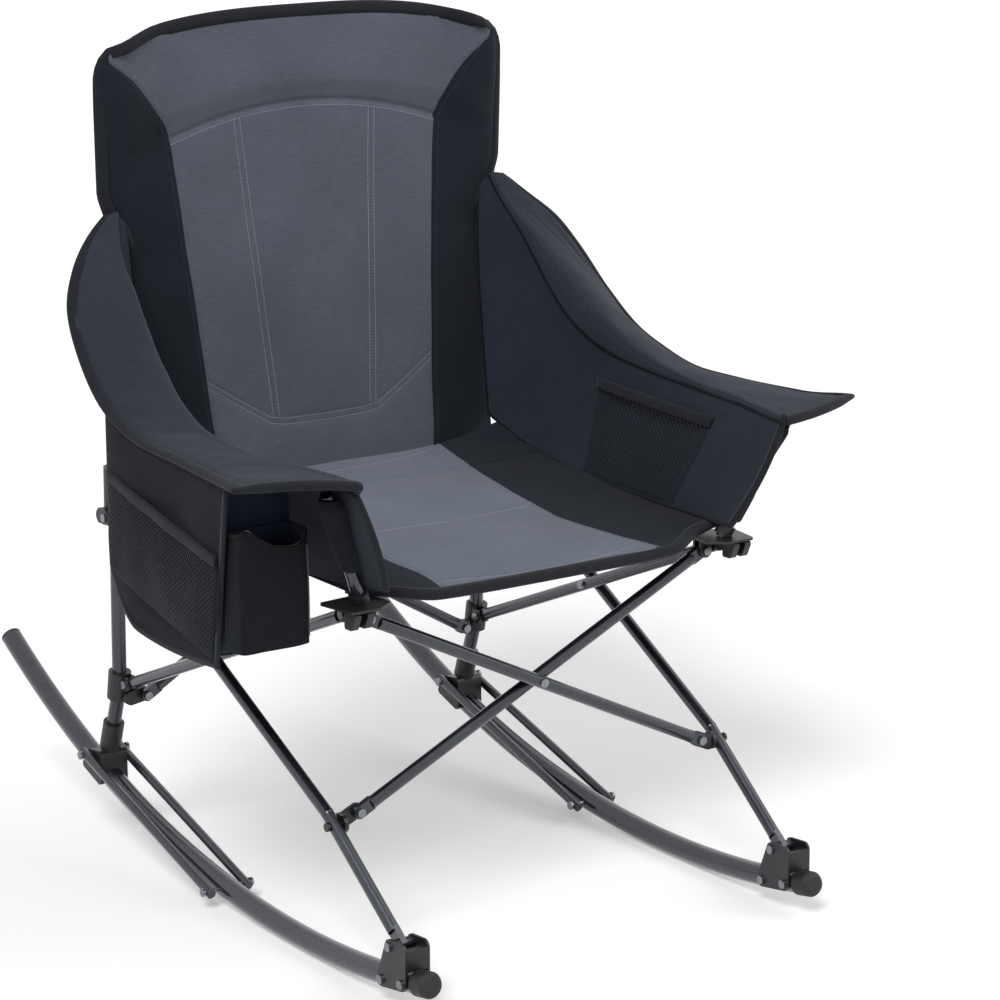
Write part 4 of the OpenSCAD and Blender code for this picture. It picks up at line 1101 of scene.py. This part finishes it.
# ---- seat ----
@dataclass
class SeatPad:
    """The padded seat in two parts that meet at the fold line."""

    bench: Bench
    edge_x: float = 271.5
    rear_y: float = 360.0
    fold_y: float = 260.0
    front_y: float = -146.9
    thick: float = 10.0
    cols: int = 61
    seam: float = 0.52
    half_gap: float = 0.5  # from the fold line to either part
    width: float = 540.0  # about, to turn shares into mm
    stitch_reach: float = 150.0  # how far the rows of stitches run from the middle
    front_rows: tuple[float, ...] = (70.0, -132.0)
    front_bow: float = 20.0
    rear_rows: tuple[float, ...] = (322.0,)
    rear_bow: float = 24.0

    def top(self, x: Array, y: Array) -> Array:
        """The seat's height."""
        rise = lookup(y, [(-121, 12), (-60, 8), (0, 4), (100, 0), (220, 4), (300, 10), (350, 24)])
        return FIT.flange_top + 3 + (y - self.front_y) * 0.0719 + (np.abs(x) / self.edge_x) ** 4 * rise

    def grey_half(self, y: Array) -> Array:
        """Half the grey centre's width."""
        return lookup(y, [(-149, 163), (-75, 139), (20, 121), (130, 129), (225, 144), (288, 156), (352, 167)])

    def grey_edge(self, side: Array, y: Array) -> Array:
        """Half the grey centre's width on one side: the left one is cut wider behind the front."""
        return self.grey_half(y) + np.where(np.asarray(side) < 0, 32 * dip(y, 75), 0)

    def sheet(self, low: Array, high: Array, rows: int) -> Sheet:
        """Lays out one part of the seat.

        Args:
            low: the front edge's y for each column.
            high: the rear edge's y for each column.
            rows: how many rows it has.

        Returns:
            The sheet.
        """
        a = np.linspace(-1, 1, self.cols)[None, :]
        v = np.linspace(0, 1, rows)[:, None]
        y = low[None, :] + (high - low)[None, :] * v
        x = spread(a, self.seam, self.grey_edge(a, y), self.edge_x)
        thick = self.thick * (0.55 + 0.45 * ease((1 - np.abs(x) / self.edge_x) / 0.1))
        z = self.top(x, y) - self.thick / 2
        return Sheet(np.stack([x, y, z], axis=2), thick / 2 + 0 * y, (0.0, 0.0, 1.0))

    def build(self) -> None:
        """Builds both parts, the front tape and the stitches."""
        bench, finish = self.bench, self.bench.wardrobe
        a = np.linspace(-1, 1, self.cols)
        rough_x = np.abs(a) * self.edge_x
        hem = self.front_y + 38 * ease((rough_x - 150) / 105)
        fold = np.full(self.cols, self.fold_y)
        parts = (("front", hem, fold - self.half_gap, 44, self.front_rows, self.front_bow),
                 ("rear", fold + self.half_gap, np.full(self.cols, self.rear_y), 14, self.rear_rows, self.rear_bow))
        for word, low, high, rows, depths, bow in parts:
            body = f"seat_{word}"
            sheet = self.sheet(low, high, rows)
            # the seat's grey is painted paler and bluer than the back's same cloth, as painted light on its upward
            # face
            pad = sheet.solid(f"{body}_pad", [finish.seat, finish.navy], centre_zones(rows, self.cols, self.seam),
                              back=1, rim=-1)
            _, side, gu, gv = laid_out(pad)
            seam_gap = np.abs(np.abs(2 * gu - 1) - self.seam) * (self.width / 2)
            edge = inset(gu, gv, self.width, (high - low)[self.cols // 2])
            puff(pad, np.maximum.reduce([dip(seam_gap, 7), dip(edge, 9), 1.0 * (side < 0.5)]), 1.8, 5.0)
            smooth_up(pad, 2)
            at, side, gu, gv = laid_out(pad)
            seam_gap = np.abs(np.abs(2 * gu - 1) - self.seam) * (self.width / 2)
            stitched = np.full(len(at), 99.0)
            lines: list[Array] = []
            x = np.linspace(-self.stitch_reach, self.stitch_reach, 80)
            for depth in depths:
                y = depth + bow * (np.abs(x) / self.stitch_reach) ** 2
                inside = np.abs(x) < self.grey_half(y) - 3
                lines.append(np.stack([x, y, self.top(x, y)], axis=1)[inside])
                stitched = np.minimum(stitched, np.abs(at[:, 1] - depth - bow * (at[:, 0] / self.stitch_reach) ** 2))
            grey = np.abs(2 * gu - 1) < self.seam
            soft = ripples(at, 140, 21) * 1.0 + ripples(at, 50, 3) * 0.2
            push(pad, ease(side) * (soft - 2.0 * dip(seam_gap, 2.6) - 1.2 * grey * dip(stitched, 3.4)))
            bench.keep(pad, body, "grey_fabric", ACROSS, (body,), 0.35)
            bench.keep(bench.sew(f"{body}_pale_stitches", pad, lines, finish.pale_thread), body, "grey_fabric", ACROSS)
            y = np.linspace(low[10], high[10], 60)
            seam = [np.stack([s * (self.grey_edge(s, y) + 6), y, self.top(self.grey_half(y), y)], axis=1)
                    for s in (-1, 1)]
            bench.keep(bench.sew(f"{body}_dark_stitches", pad, seam, finish.dark_thread), body, "navy_fabric", ACROSS)
            if word == "front":
                tape = sheet.binding("seat_front_tape", "B", 12, finish.webbing, 1.0)
                bench.keep(tape, body, "navy_fabric", ACROSS)


# ---- arms and side panels ----
@dataclass
class ArmRest:
    """A padded arm that sweeps down from the back, with the panel that joins it to the seat."""

    bench: Bench
    side: Side
    thick: float = 12.0
    inner: tuple = ((1, 402, 848), (11, 385, 816), (20, 362, 792), (29, 322, 762), (41, 262, 713),
                    (51, 190, 663), (56, 106, 630), (52, 12, 618), (38, -90, 617), (26, -188, 611))
    outer: tuple = ((18, 399, 846), (51, 388, 818), (83, 364, 786), (105, 338, 744), (116, 290, 692),
                    (123, 225, 646), (128, 140, 622), (134, 30, 618), (147, -72, 618), (167, -154, 618))
    roll: float = 0.2  # the share of the columns that roll down from the inner edge to the seam
    roll_in: float = 13.0
    roll_down: float = 38.0
    front_bulge: float = 12.0
    panel_half: float = 2.8
    seam_back: float = 5.0  # how far behind the back's face the panel is sewn to it

    def point(self, u: Array, v: Array) -> Array:
        """A point on the arm's middle, in mm.

        Args:
            u: along the arm, from the back.
            v: across it, from the inner edge.

        Returns:
            Points with x as on the right side.
        """
        shift = np.array([FIT.rocker_x, 0, 0])
        a, b = through(np.array(self.inner, float) + shift, u), through(np.array(self.outer, float) + shift, u)
        place = a + (b - a) * np.clip((v - self.roll) / (1 - self.roll), 0, 1)[..., None]
        turn = np.clip((self.roll - v) / self.roll, 0, 1) * math.pi / 2
        size = 0.07 + 0.93 * dip(u - 0.46, 0.17)
        place[..., 0] -= self.roll_in * size * np.sin(turn)
        place[..., 2] -= self.roll_down * size * (1 - np.cos(turn))
        place[..., 2] += FIT.arm_lift * u
        if self.side is Side.LEFT:  # the front edge arches between the post and the pouch
            place[..., 2] += (8 * np.sin(np.pi * v) + 6 * v) * ease((u - 0.86) / 0.14)
        else:  # the bare outer edge sags behind the tip
            place[..., 2] -= 7 * ease((u - 0.6) / 0.12) * ease((1 - u) / 0.1) * v ** 2
        place[..., 1] -= self.front_bulge * np.sin(np.pi * v) * ease((u - 0.9) / 0.1)
        return place

    def own(self, points: Array) -> Array:
        """Turns points with x as on the right side to the arm's own side."""
        return points * np.array([self.side.value, 1, 1])

    def trim(self, piece: bpy.types.Object) -> None:
        """Keeps a tape, a cord or a row of stitches on the arm's rear post."""
        self.bench.keep(piece, f"{self.side.word}_post", "navy_fabric", ALONG_ARM)

    def sheet(self) -> Sheet:
        """Lays out the arm."""
        u, v = shares(72, 26)
        crown = 0.55 + 0.45 * ease(np.minimum(v, 1 - v) / 0.2)
        ends = 0.7 + 0.3 * ease(np.minimum(u, 1 - u) / 0.05)
        return Sheet(self.own(self.point(u, v)), self.thick / 2 * crown * ends, (self.side.value * -0.3, -0.4, 1.0))

    def build(self) -> None:
        """Builds the arm, its tape, its seam cord and its stitches."""
        bench, finish, word = self.bench, self.bench.wardrobe, self.side.word
        sheet = self.sheet()
        pad = sheet.solid(f"{word}_arm_cushion", [finish.arm, finish.navy], None, back=1, rim=1)
        _, side, gu, gv = laid_out(pad)
        puff(pad, np.maximum(dip(inset(gu, gv, 90, 650), 10), 1.0 * (side < 0.5)), 2.0, 4.5)
        smooth_up(pad, 2)
        at, side, gu, _ = laid_out(pad)
        rows = dip(np.minimum(np.abs(gu - 0.9), np.abs(gu - 0.12)), 0.022)
        push(pad, ease(side) * (ripples(at, 90, 31) * 0.9 + ripples(at, 38, 8) * 0.3 - 0.9 * rows))
        bench.keep(pad, f"{word}_post", "arm_fabric", ALONG_ARM, (f"{word}_arm_pad",), 0.5)
        self.trim(sheet.binding(f"{word}_arm_edge_tape", "TR", 9, finish.webbing, 0.9))
        inner = sheet.mid[:, 0] + sheet.normal[:, 0] * 1.5
        self.trim(bench.cord(f"{word}_arm_seam_cord", [inner], 2.6, finish.webbing))
        u = np.linspace(0.02, 0.97, 150)
        lines = [self.own(self.point(u, np.full_like(u, v))) + np.array([0, 0, self.thick / 2]) for v in (0.3, 0.9)]
        self.trim(bench.sew(f"{word}_arm_stitches", pad, lines, finish.dark_thread))
        self.side_panel()

    def panel_point(self, u: Array, v: Array) -> Array:
        """A point on the side panel's middle, with x as on the right side.

        Args:
            u: along the panel, from the back.
            v: up it, from the seat.

        Returns:
            The points, in mm.
        """
        back, seat = BackRest(self.bench), SeatPad(self.bench)
        height = back.top_z - back.low_z
        seam = [(float(back.half_width(np.array(k))) - 5, y + self.seam_back, back.low_z + height * k)
                for k, y in ((0.575, 403), (0.44, 397), (0.28, 387), (0.1, 371))]
        seam += [(seat.edge_x - gap, y, float(seat.top(np.array(seat.edge_x - gap), np.array(float(y)))) + rise)
                 for gap, y, rise in ((9, 366, 8), (3, 342, -3), (0.5, 290, -5), (0.5, 200, -5), (0, 100, -3),
                                        (0, 0, -3), (2, -75, -1))]
        seam.append((253.0, -160.0, 477.0))
        top = self.point(u, np.zeros_like(u)) + np.array([1.0, 0, -1.5])
        low = through(np.array(seam), u)
        place = low + (top - low) * v[..., None]
        place[..., 0] += np.sin(np.pi * v) * 5 * np.sin(np.pi * u)
        place[..., 1] -= np.sin(np.pi * v) * 9 * ease((u - 0.85) / 0.15)
        return place

    def side_panel(self) -> None:
        """Builds the panel between the arm and the seat, and the sleeve round the arm's post."""
        bench, finish, word = self.bench, self.bench.wardrobe, self.side.word
        u, v = shares(84, 32)
        half = self.panel_half * (0.7 + 0.3 * ease(np.minimum(v, 1 - v) / 0.06))
        sheet = Sheet(self.own(self.panel_point(u, v)), half, (-self.side.value, -0.3, 0.2))
        panel = sheet.solid(f"{word}_side_cover", [finish.side], None)
        smooth_up(panel, 1)
        at, side, gu, gv = laid_out(panel)
        inner = ease(np.minimum(gu, 1 - gu) / 0.12) * ease(np.minimum(gv, 1 - gv) / 0.1)
        drape = np.sin(gv * 21 + 3 * np.sin(gu * 5)) * 0.8 * ease((gu - 0.8) / 0.08)
        push(panel, side * inner * (ripples(at, 150, 41) * 2.4 + drape + ripples(at, 60, 12) * 0.5))
        bench.keep(panel, f"{word}_post", "navy_fabric", ALONG_ARM, (f"{word}_side_panel",), None, sheet.cut(),
                   (f"{word}_arm_cushion",))
        self.trim(sheet.binding(f"{word}_side_front_tape", "T", 8, finish.webbing, 0.5))
        low = sheet.mid[:, 0] + sheet.normal[:, 0] * 2.5
        self.trim(bench.cord(f"{word}_side_seam_cord", [low], 1.8, finish.webbing))
        v = np.linspace(0.12, 0.86, 60)
        rows = [self.own(self.panel_point(np.full_like(v, along) + 0.01 * np.sin(v * 6), v))
                for along in (0.885, 0.945)]
        self.trim(bench.sew(f"{word}_side_stitches", panel, rows, finish.dark_thread, (self.side.value, 0.0, 0.0)))
        self.sleeve(sheet)

    def sleeve(self, panel: Sheet) -> None:
        """Builds the cloth sleeve that hangs from the arm's tip round its post."""
        low, high = np.array(FIT.arm_low), np.array(FIT.arm_high)
        edge = self.own(panel.mid[-7])
        hem = 0.34 if self.side is Side.LEFT else 0.16
        rings = []
        for t in np.linspace(hem, 0.95, 34):
            centre = low + (high - low) * t
            close = 1 - 0.25 * float(ease(np.array((t - 0.86) / 0.08)))
            tail = np.array([np.interp(centre[2], edge[:, 2], edge[:, k]) for k in range(2)])
            back = tail - centre[:2]
            reach = float(np.linalg.norm(back)) * (0.35 + 0.65 * close)
            heading = math.atan2(back[1], back[0])
            radius = (12.5 + 3.0 * ease((t - 0.6) / 0.4)) * close
            open_by = math.acos(min(0.98, radius / max(reach, radius + 1)))
            theta = np.linspace(open_by, math.tau - open_by, 30)
            crease = 0.7 * np.sin(theta * 3 + t * 11) * close
            x, y = (radius + crease) * np.cos(theta), (radius + crease) * np.sin(theta)
            steps = np.linspace(0, 1, 8)[1:]
            x = np.concatenate([x, x[-1] + (reach - x[-1]) * steps, (reach + (x[0] - reach) * steps)[:-1]])
            y = np.concatenate([y, y[-1] + (-1.2 - y[-1]) * steps, (1.2 + (y[0] - 1.2) * steps)[:-1]])
            c, d = math.cos(heading), math.sin(heading)
            dip_z = 4 * ease((0.45 - t) / 0.1) * np.cos(np.arctan2(y, x))
            rings.append(np.stack([centre[0] + x * c - y * d, centre[1] + x * d + y * c, centre[2] + dip_z], axis=1))
        made = loft(f"{self.side.word}_arm_post_sleeve", self.own(np.array(rings)), self.bench.wardrobe.black)
        self.bench.keep(made, f"{self.side.word}_corner", "navy_fabric")


# ---- nets ----
@dataclass
class NetPocket:
    """A net pocket under an elastic band."""

    bench: Bench
    name: str
    stands_for: str
    body: str
    corners: Array  # front low, rear low, rear high, front high, in mm
    out: Array  # the way it bulges
    bulge: float
    cell: float = 6.5
    thread: float = 0.6

    def surface(self, s: Array, t: Array) -> Array:
        """A point of the pocket, from s along it and t up it."""
        a, b, c, d = self.corners
        place = (a[None] * ((1 - s) * (1 - t))[:, None] + b[None] * (s * (1 - t))[:, None]
                 + c[None] * (s * t)[:, None] + d[None] * ((1 - s) * t)[:, None])
        swell = np.sin(np.pi * np.clip(s, 0, 1)) ** 0.7 * (0.25 + 0.75 * np.sin(np.pi * np.clip(t, 0, 1) ** 0.8))
        folds = 1 + 0.25 * np.sin(s * 19) * (0.3 + 0.7 * t)
        return place + self.out[None] * (self.bulge * swell * folds)[:, None]

    def build(self) -> None:
        """Builds the net and its band."""
        finish = self.bench.wardrobe
        width = float(np.linalg.norm(self.corners[1] - self.corners[0]))
        height = float(np.linalg.norm(self.corners[3] - self.corners[0]))
        across, up = max(4, round(width / self.cell)), max(4, round(height / self.cell))
        places = [(i, j) for j in range(2 * up + 1) for i in range(2 * across + 1) if (i + j) % 2 == 0]
        knots = {place: k for k, place in enumerate(places)}
        edges = [(k, knots[i + step, j + 1]) for (i, j), k in knots.items() for step in (-1, 1)
                 if (i + step, j + 1) in knots]
        st = np.array(places) / (2 * across, 2 * up)
        mesh = new_mesh(self.name, self.surface(st[:, 0], st[:, 1]) * MM, edges, [])
        net = self.bench.cords.apply_mesh(self.name, mesh,
                                          {"Radius": self.thread * MM, "Sides": 3, "Material": finish.net})
        self.bench.keep(net, self.body, "black_net", ALONG_ARM, (self.stands_for,), None,
                        (width * MM, height * MM, width * height * MM * MM), (f"{self.name}_band",))
        t = np.linspace(0, 1, 60)
        section = ((-11, 1.6), (-8, 2.6), (0, 2.6), (3, 1.6), (3, -0.4), (-11, -0.4))  # up from the rim, and out
        rings = np.stack([self.surface(t, np.full_like(t, 1 + depth / height)) + self.out * proud
                          for depth, proud in section], axis=1)
        self.bench.keep(loft(f"{self.name}_band", rings, finish.webbing), self.body, "navy_fabric", ALONG_ARM)


def net_corners(point: Callable[[Array, Array], Array], spots: tuple[tuple[float, float], ...], off: float) -> Array:
    """Finds a net's corners on a cloth.

    Args:
        point: gives a point of the cloth from its two shares.
        spots: the shares at each corner.
        off: how far along x the corners stand off the cloth, in mm.

    Returns:
        A point for each corner, in mm.
    """
    return np.array([point(np.array([u]), np.array([v]))[0] + np.array([off, 0, 0]) for u, v in spots])


# ---- outer panel and zip pouch, on the left only ----
@dataclass
class OuterPocket:
    """The flap that hangs outside the left arm, with its net."""

    bench: Bench
    rear_y: float = 222.0
    front_y: float = -61.0
    lean: float = 37.0  # how much further forward the front edge's top lies
    low_z: float = 390.25

    def out_x(self, y: Array) -> Array:
        """How far out the flap hangs."""
        return FIT.rocker_x + lookup(y, [(-98, 145), (-70, 141), (30, 133), (140, 127), (225, 122)]) - 2

    def point(self, u: Array, v: Array) -> Array:
        """A point of the flap from u, rear to front, and v, upwards, on the left side."""
        arm = ArmRest(self.bench, Side.LEFT)
        y = self.rear_y + (self.front_y - self.lean * v - self.rear_y) * u
        place = lookup(y, [(-98, 0.918), (-70, 0.889), (30, 0.778), (140, 0.667), (225, 0.5556)])
        top = arm.point(place, np.ones_like(place))[..., 2] - 4.0
        round_off = 60 * (1 - np.clip(u / 0.25, 0, 1)) ** 2
        low = self.low_z + round_off - 10 * np.sin(np.pi * u)
        x = self.out_x(y) + 3 * np.sin(np.pi * v) * np.sin(3 * np.pi * u)
        return np.stack([-x, y, low + (top - low) * v], axis=-1)

    def build(self) -> None:
        """Builds the flap, its tape and its net."""
        finish = self.bench.wardrobe
        u, v = shares(50, 36)
        sheet = Sheet(self.point(u, v), np.full(u.shape, 1.4), (-1.0, 0.0, 0.0))
        flap = sheet.solid("left_outer_flap", [finish.black], None)
        smooth_up(flap, 1)
        at, side, _, _ = laid_out(flap)
        push(flap, side * (ripples(at, 120, 51) * 1.6 + ripples(at, 50, 52) * 0.4))
        self.bench.keep(flap, "left_post", "navy_fabric", ALONG_ARM, ("left_outer_panel",), None,
                        sheet.cut(), ("left_arm_cushion",))
        tape = sheet.binding("left_outer_flap_tape", "BLT", 7, finish.webbing, 0.8)
        self.bench.keep(tape, "left_post", "navy_fabric", ALONG_ARM)
        corners = net_corners(self.point, ((0.975, 0.045), (0.03, 0.05), (0.03, 0.66), (0.975, 0.6)), -4.5)
        NetPocket(self.bench, "left_net_pocket", "left_mesh_pocket", "left_post", corners, np.array([-1.0, 0, 0]),
                  9.0).build()


@dataclass
class ZipPouch:
    """The open pouch under the left arm's tip, with a zip down its inner side."""

    bench: Bench
    outer_x: float = 418.5
    inner_x: float = 326.5
    front_y: float = -108.9
    back_y: float = -64.9
    low_z: float = 415.25
    rim_z: float = 553.25
    back_z: float = 604.0
    wall: float = 2.6
    squareness: float = 0.28  # the power that squares the round: 1 is an ellipse
    levels: int = 26
    around: int = 96
    zip_place: int = 82  # the point of the round that the zip runs down

    def centre(self) -> Array:
        """The middle of the pouch, on plan."""
        return np.array([-(self.outer_x + self.inner_x) / 2, (self.front_y + self.back_y) / 2])

    def shell(self, depth: float) -> Array:
        """Lays out the pouch's wall.

        Args:
            depth: how far in from the outside it lies, in mm.

        Returns:
            Levels x points x 3, from the foot to the rim.
        """
        centre = self.centre()
        a, b = (self.outer_x - self.inner_x) / 2 - depth, (self.back_y - self.front_y) / 2 - depth
        theta = np.linspace(0, math.tau, self.around, endpoint=False)
        c, s = np.cos(theta), np.sin(theta)
        x0 = a * np.sign(c) * np.abs(c) ** self.squareness
        y0 = b * np.sign(s) * np.abs(s) ** self.squareness
        rings = []
        for t in np.linspace(0, 1, self.levels):
            swell = 1 + 0.05 * math.sin(math.pi * t ** 0.7)
            flare = 1 + 0.03 * (1 - t)
            z = self.low_z + depth + (self.rim_z - self.low_z - depth) * t
            fore = np.clip(-s, 0, 1)
            sag = t ** 3 * fore * lookup(x0 / a, [(-1, -14), (-0.8, -8), (-0.4, 8), (0, 15), (0.5, 18), (0.8, 16),
                                                  (1, 8)])
            x = centre[0] + x0 * (flare - 0.02 * t)
            y = centre[1] + y0 * np.where(s < 0, swell * 1.06, 1.0) + 3.0 * t ** 2 * fore * math.sin(3.0 * t)
            ripple = fore * 1.2 * np.sin(x0 * 0.11 + t * 5)
            rings.append(np.stack([x, y - ripple, z - sag], axis=1))
        return np.array(rings)

    def build(self) -> None:
        """Builds the pouch, its lining, its hem and the zip's teeth."""
        bench, finish = self.bench, self.bench.wardrobe
        outside, inside = self.shell(0), self.shell(self.wall)
        foot = lambda rings: [rings[0] + (rings[0].mean(axis=0) - rings[0]) * k for k in (0.85, 0.5, 0.2)]
        wall = np.concatenate([np.array(foot(outside)), outside, inside[::-1], np.array(foot(inside))[::-1]])
        pouch = loft("zip_pouch_shell", wall, finish.black)
        pouch.data.materials.append(finish.lining)
        centre = Vector((*self.centre(), 0)) * MM
        for face in pouch.data.polygons:
            flat = Vector((face.center.x - centre.x, face.center.y - centre.y, 0))
            if face.normal.dot(flat) < 0:
                face.material_index = 1
        bench.keep(pouch, "left_corner", "navy_fabric", None, ("zip_pouch",), 0.1)
        x, z = np.meshgrid(np.linspace(-self.outer_x - 5, -self.inner_x + 1, 30),
                           np.linspace(self.low_z - 8, self.back_z, 40), indexing="ij")
        y = np.full_like(x, self.back_y + 1.5) + 2.0 * np.sin((x + self.inner_x) * 0.07) * ease((z - 540) / 40)
        y += 3.0 * ease((-x - 414) / 9)
        back = Sheet(np.stack([x, y, z], axis=2), np.full(x.shape, 1.2), (0.0, -1.0, 0.0))
        wall_piece = back.solid("pouch_back_wall", [finish.lining, finish.navy], None, back=1, rim=1)
        wall_piece.data.shade_smooth()
        bench.keep(wall_piece, "left_corner", "navy_fabric")
        rim = outside[-1]
        rim_loop = np.concatenate([rim, rim[:1]]) + np.array([0, 0, -2.0])
        bench.keep(bench.cord("pouch_rim_hem", [rim_loop], 2.2, finish.webbing), "left_corner", "navy_fabric")
        edge = outside[2:-2, self.zip_place] + np.array([0.0, -0.9, 0.0])
        bench.keep(bench.cord("zip_edge_tape", [edge], 2.8, finish.webbing), "left_corner", "black_net")
        tooth_line = (edge + np.array([0.6, -2.6, 0.0])) * MM
        teeth = bench.stitches.apply("zip_teeth", [tooth_line], {
            "Spacing": 1.9 * MM, "Length": 1.2 * MM, "Thickness": 3.4 * MM, "Material": finish.zinc})
        bench.keep(teeth, "left_corner", "black_net")


# ---- the frame's finishes ----
@dataclass
class FrameFinish:
    """Gives each of the frame's solids its finish."""

    bench: Bench
    nodes: dict

    def build(self) -> None:
        """Dresses every node by what it is."""
        finish = self.bench.wardrobe
        kinds = ((("zip_slider",), finish.gunmetal), (("zip_tape", "caps"), finish.rubber),
                 (("bolt", "rivet"), finish.zinc), (("hub", "socket", "bracket", "swivel"), finish.nylon))
        for name, piece in self.nodes.items():
            known = (material for words, material in kinds if any(word in name for word in words))
            piece.data.materials.clear()
            piece.data.materials.append(next(known, finish.tube))


# ---- stage ----
@dataclass
class Studio:
    """A plain pale floor, soft lamps and the camera."""

    focal: float = 120.2
    place: tuple = (-2.284, -3.257, 1.499)
    pitch: float = -13.87
    roll: float = -0.43
    yaw: float = -34.03
    shift: float = 0.069
    reach: float = 60.0
    floor_drop: float = 0.0006  # keeps the floor clear of the rockers

    def build(self) -> None:
        """Sets the stage."""
        scene = bpy.context.scene
        scene.view_settings.view_transform = "Standard"
        floor_mesh = new_mesh("floor", [(x * self.reach, y * self.reach, 0)
                                        for x, y in ((-1, -1), (1, -1), (1, 1), (-1, 1))], [], [(0, 1, 2, 3)])
        material = bpy.data.materials.new("pale_floor")
        material.use_nodes = True
        tree = material.node_tree
        shader = tree.nodes["Principled BSDF"]
        shader.inputs["Base Color"].default_value = linear("#f4f4f4")
        shader.inputs["Roughness"].default_value = 0.9
        shader.inputs["Specular IOR Level"].default_value = 0.1
        shader.inputs["Emission Color"].default_value = linear("#ffffff")
        tree.links.new(self.shown(tree, 0.0, 0.3), shader.inputs["Emission Strength"])
        floor_mesh.materials.append(material)
        floor = add_object("floor", floor_mesh)
        floor.location.z = -self.floor_drop
        world = bpy.data.worlds.new("soft_world")
        world.use_nodes = True
        tree = world.node_tree
        background = tree.nodes["Background"]
        background.inputs[0].default_value = linear("#ffffff")
        tree.links.new(self.shown(tree, 0.34, 1.0), background.inputs[1])
        scene.world = world
        for name, angles, power, spread in (("key", (44, 0, -50), 1.75, 22), ("fill", (50, 0, 55), 0.8, 45)):
            lamp = bpy.data.lights.new(name, "SUN")
            lamp.energy = power
            lamp.angle = math.radians(spread)
            made = bpy.data.objects.new(name, lamp)
            made.rotation_euler = [math.radians(k) for k in angles]
            scene.collection.objects.link(made)
        self.camera(scene)

    def shown(self, tree: bpy.types.NodeTree, lighting: float, seen: float) -> bpy.types.NodeSocket:
        """Gives one strength as light and another where it is seen.

        Args:
            tree: the tree that uses it.
            lighting: the strength for light.
            seen: the strength for camera rays, and for what shiny surfaces mirror.

        Returns:
            The strength's socket.
        """
        ray = node(tree, "ShaderNodeLightPath")
        sight = node(tree, "ShaderNodeMath", {0: ray.outputs["Is Camera Ray"], 1: ray.outputs["Is Glossy Ray"]},
                     operation="MAXIMUM").outputs[0]
        return node(tree, "ShaderNodeMix", {0: sight, 2: lighting, 3: seen}).outputs[0]

    def camera(self, scene: bpy.types.Scene) -> None:
        """Places the camera.

        Args:
            scene: the scene that looks through it.
        """
        rx, ry, rz = (math.radians(k) for k in (self.pitch, self.roll, self.yaw))
        forward = np.array([-math.sin(rz) * math.cos(rx), math.cos(rz) * math.cos(rx), math.sin(rx)])
        level = np.array([math.cos(rz), math.sin(rz), 0])
        above = np.cross(level, forward)
        right = level * math.cos(ry) + above * math.sin(ry)
        up = above * math.cos(ry) - level * math.sin(ry)
        data = bpy.data.cameras.new("camera")
        data.lens, data.sensor_width = self.focal, 36.0
        data.shift_x = self.shift
        data.clip_end = 100
        camera = bpy.data.objects.new("camera", data)
        turn = Matrix((right, up, -forward)).transposed()
        camera.matrix_world = Matrix.Translation(self.place) @ turn.to_4x4()
        scene.collection.objects.link(camera)
        scene.camera = camera


def main() -> None:
    """Builds the chair round its frame."""
    logging.basicConfig(level=logging.INFO, format="%(name)s: %(message)s")
    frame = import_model()
    bench = Bench(Wardrobe(), stitch_tree(), cord_tree())
    FrameFinish(bench, frame["nodes"]).build()
    BackRest(bench).build()
    SeatPad(bench).build()
    for side in Side:
        ArmRest(bench, side).build()
    OuterPocket(bench).build()
    corners = net_corners(ArmRest(bench, Side.RIGHT).panel_point,
                          ((0.84, 0.06), (0.665, 0.05), (0.58, 0.77), (0.85, 0.81)), -6.0)
    NetPocket(bench, "right_net_pocket", "right_mesh_pocket", "right_post", corners, np.array([-1.0, 0, 0.15]),
              8.0).build()
    ZipPouch(bench).build()
    Studio().build()
    log.info("%d pieces made", bench.count)


if __name__ == "__main__":
    main()
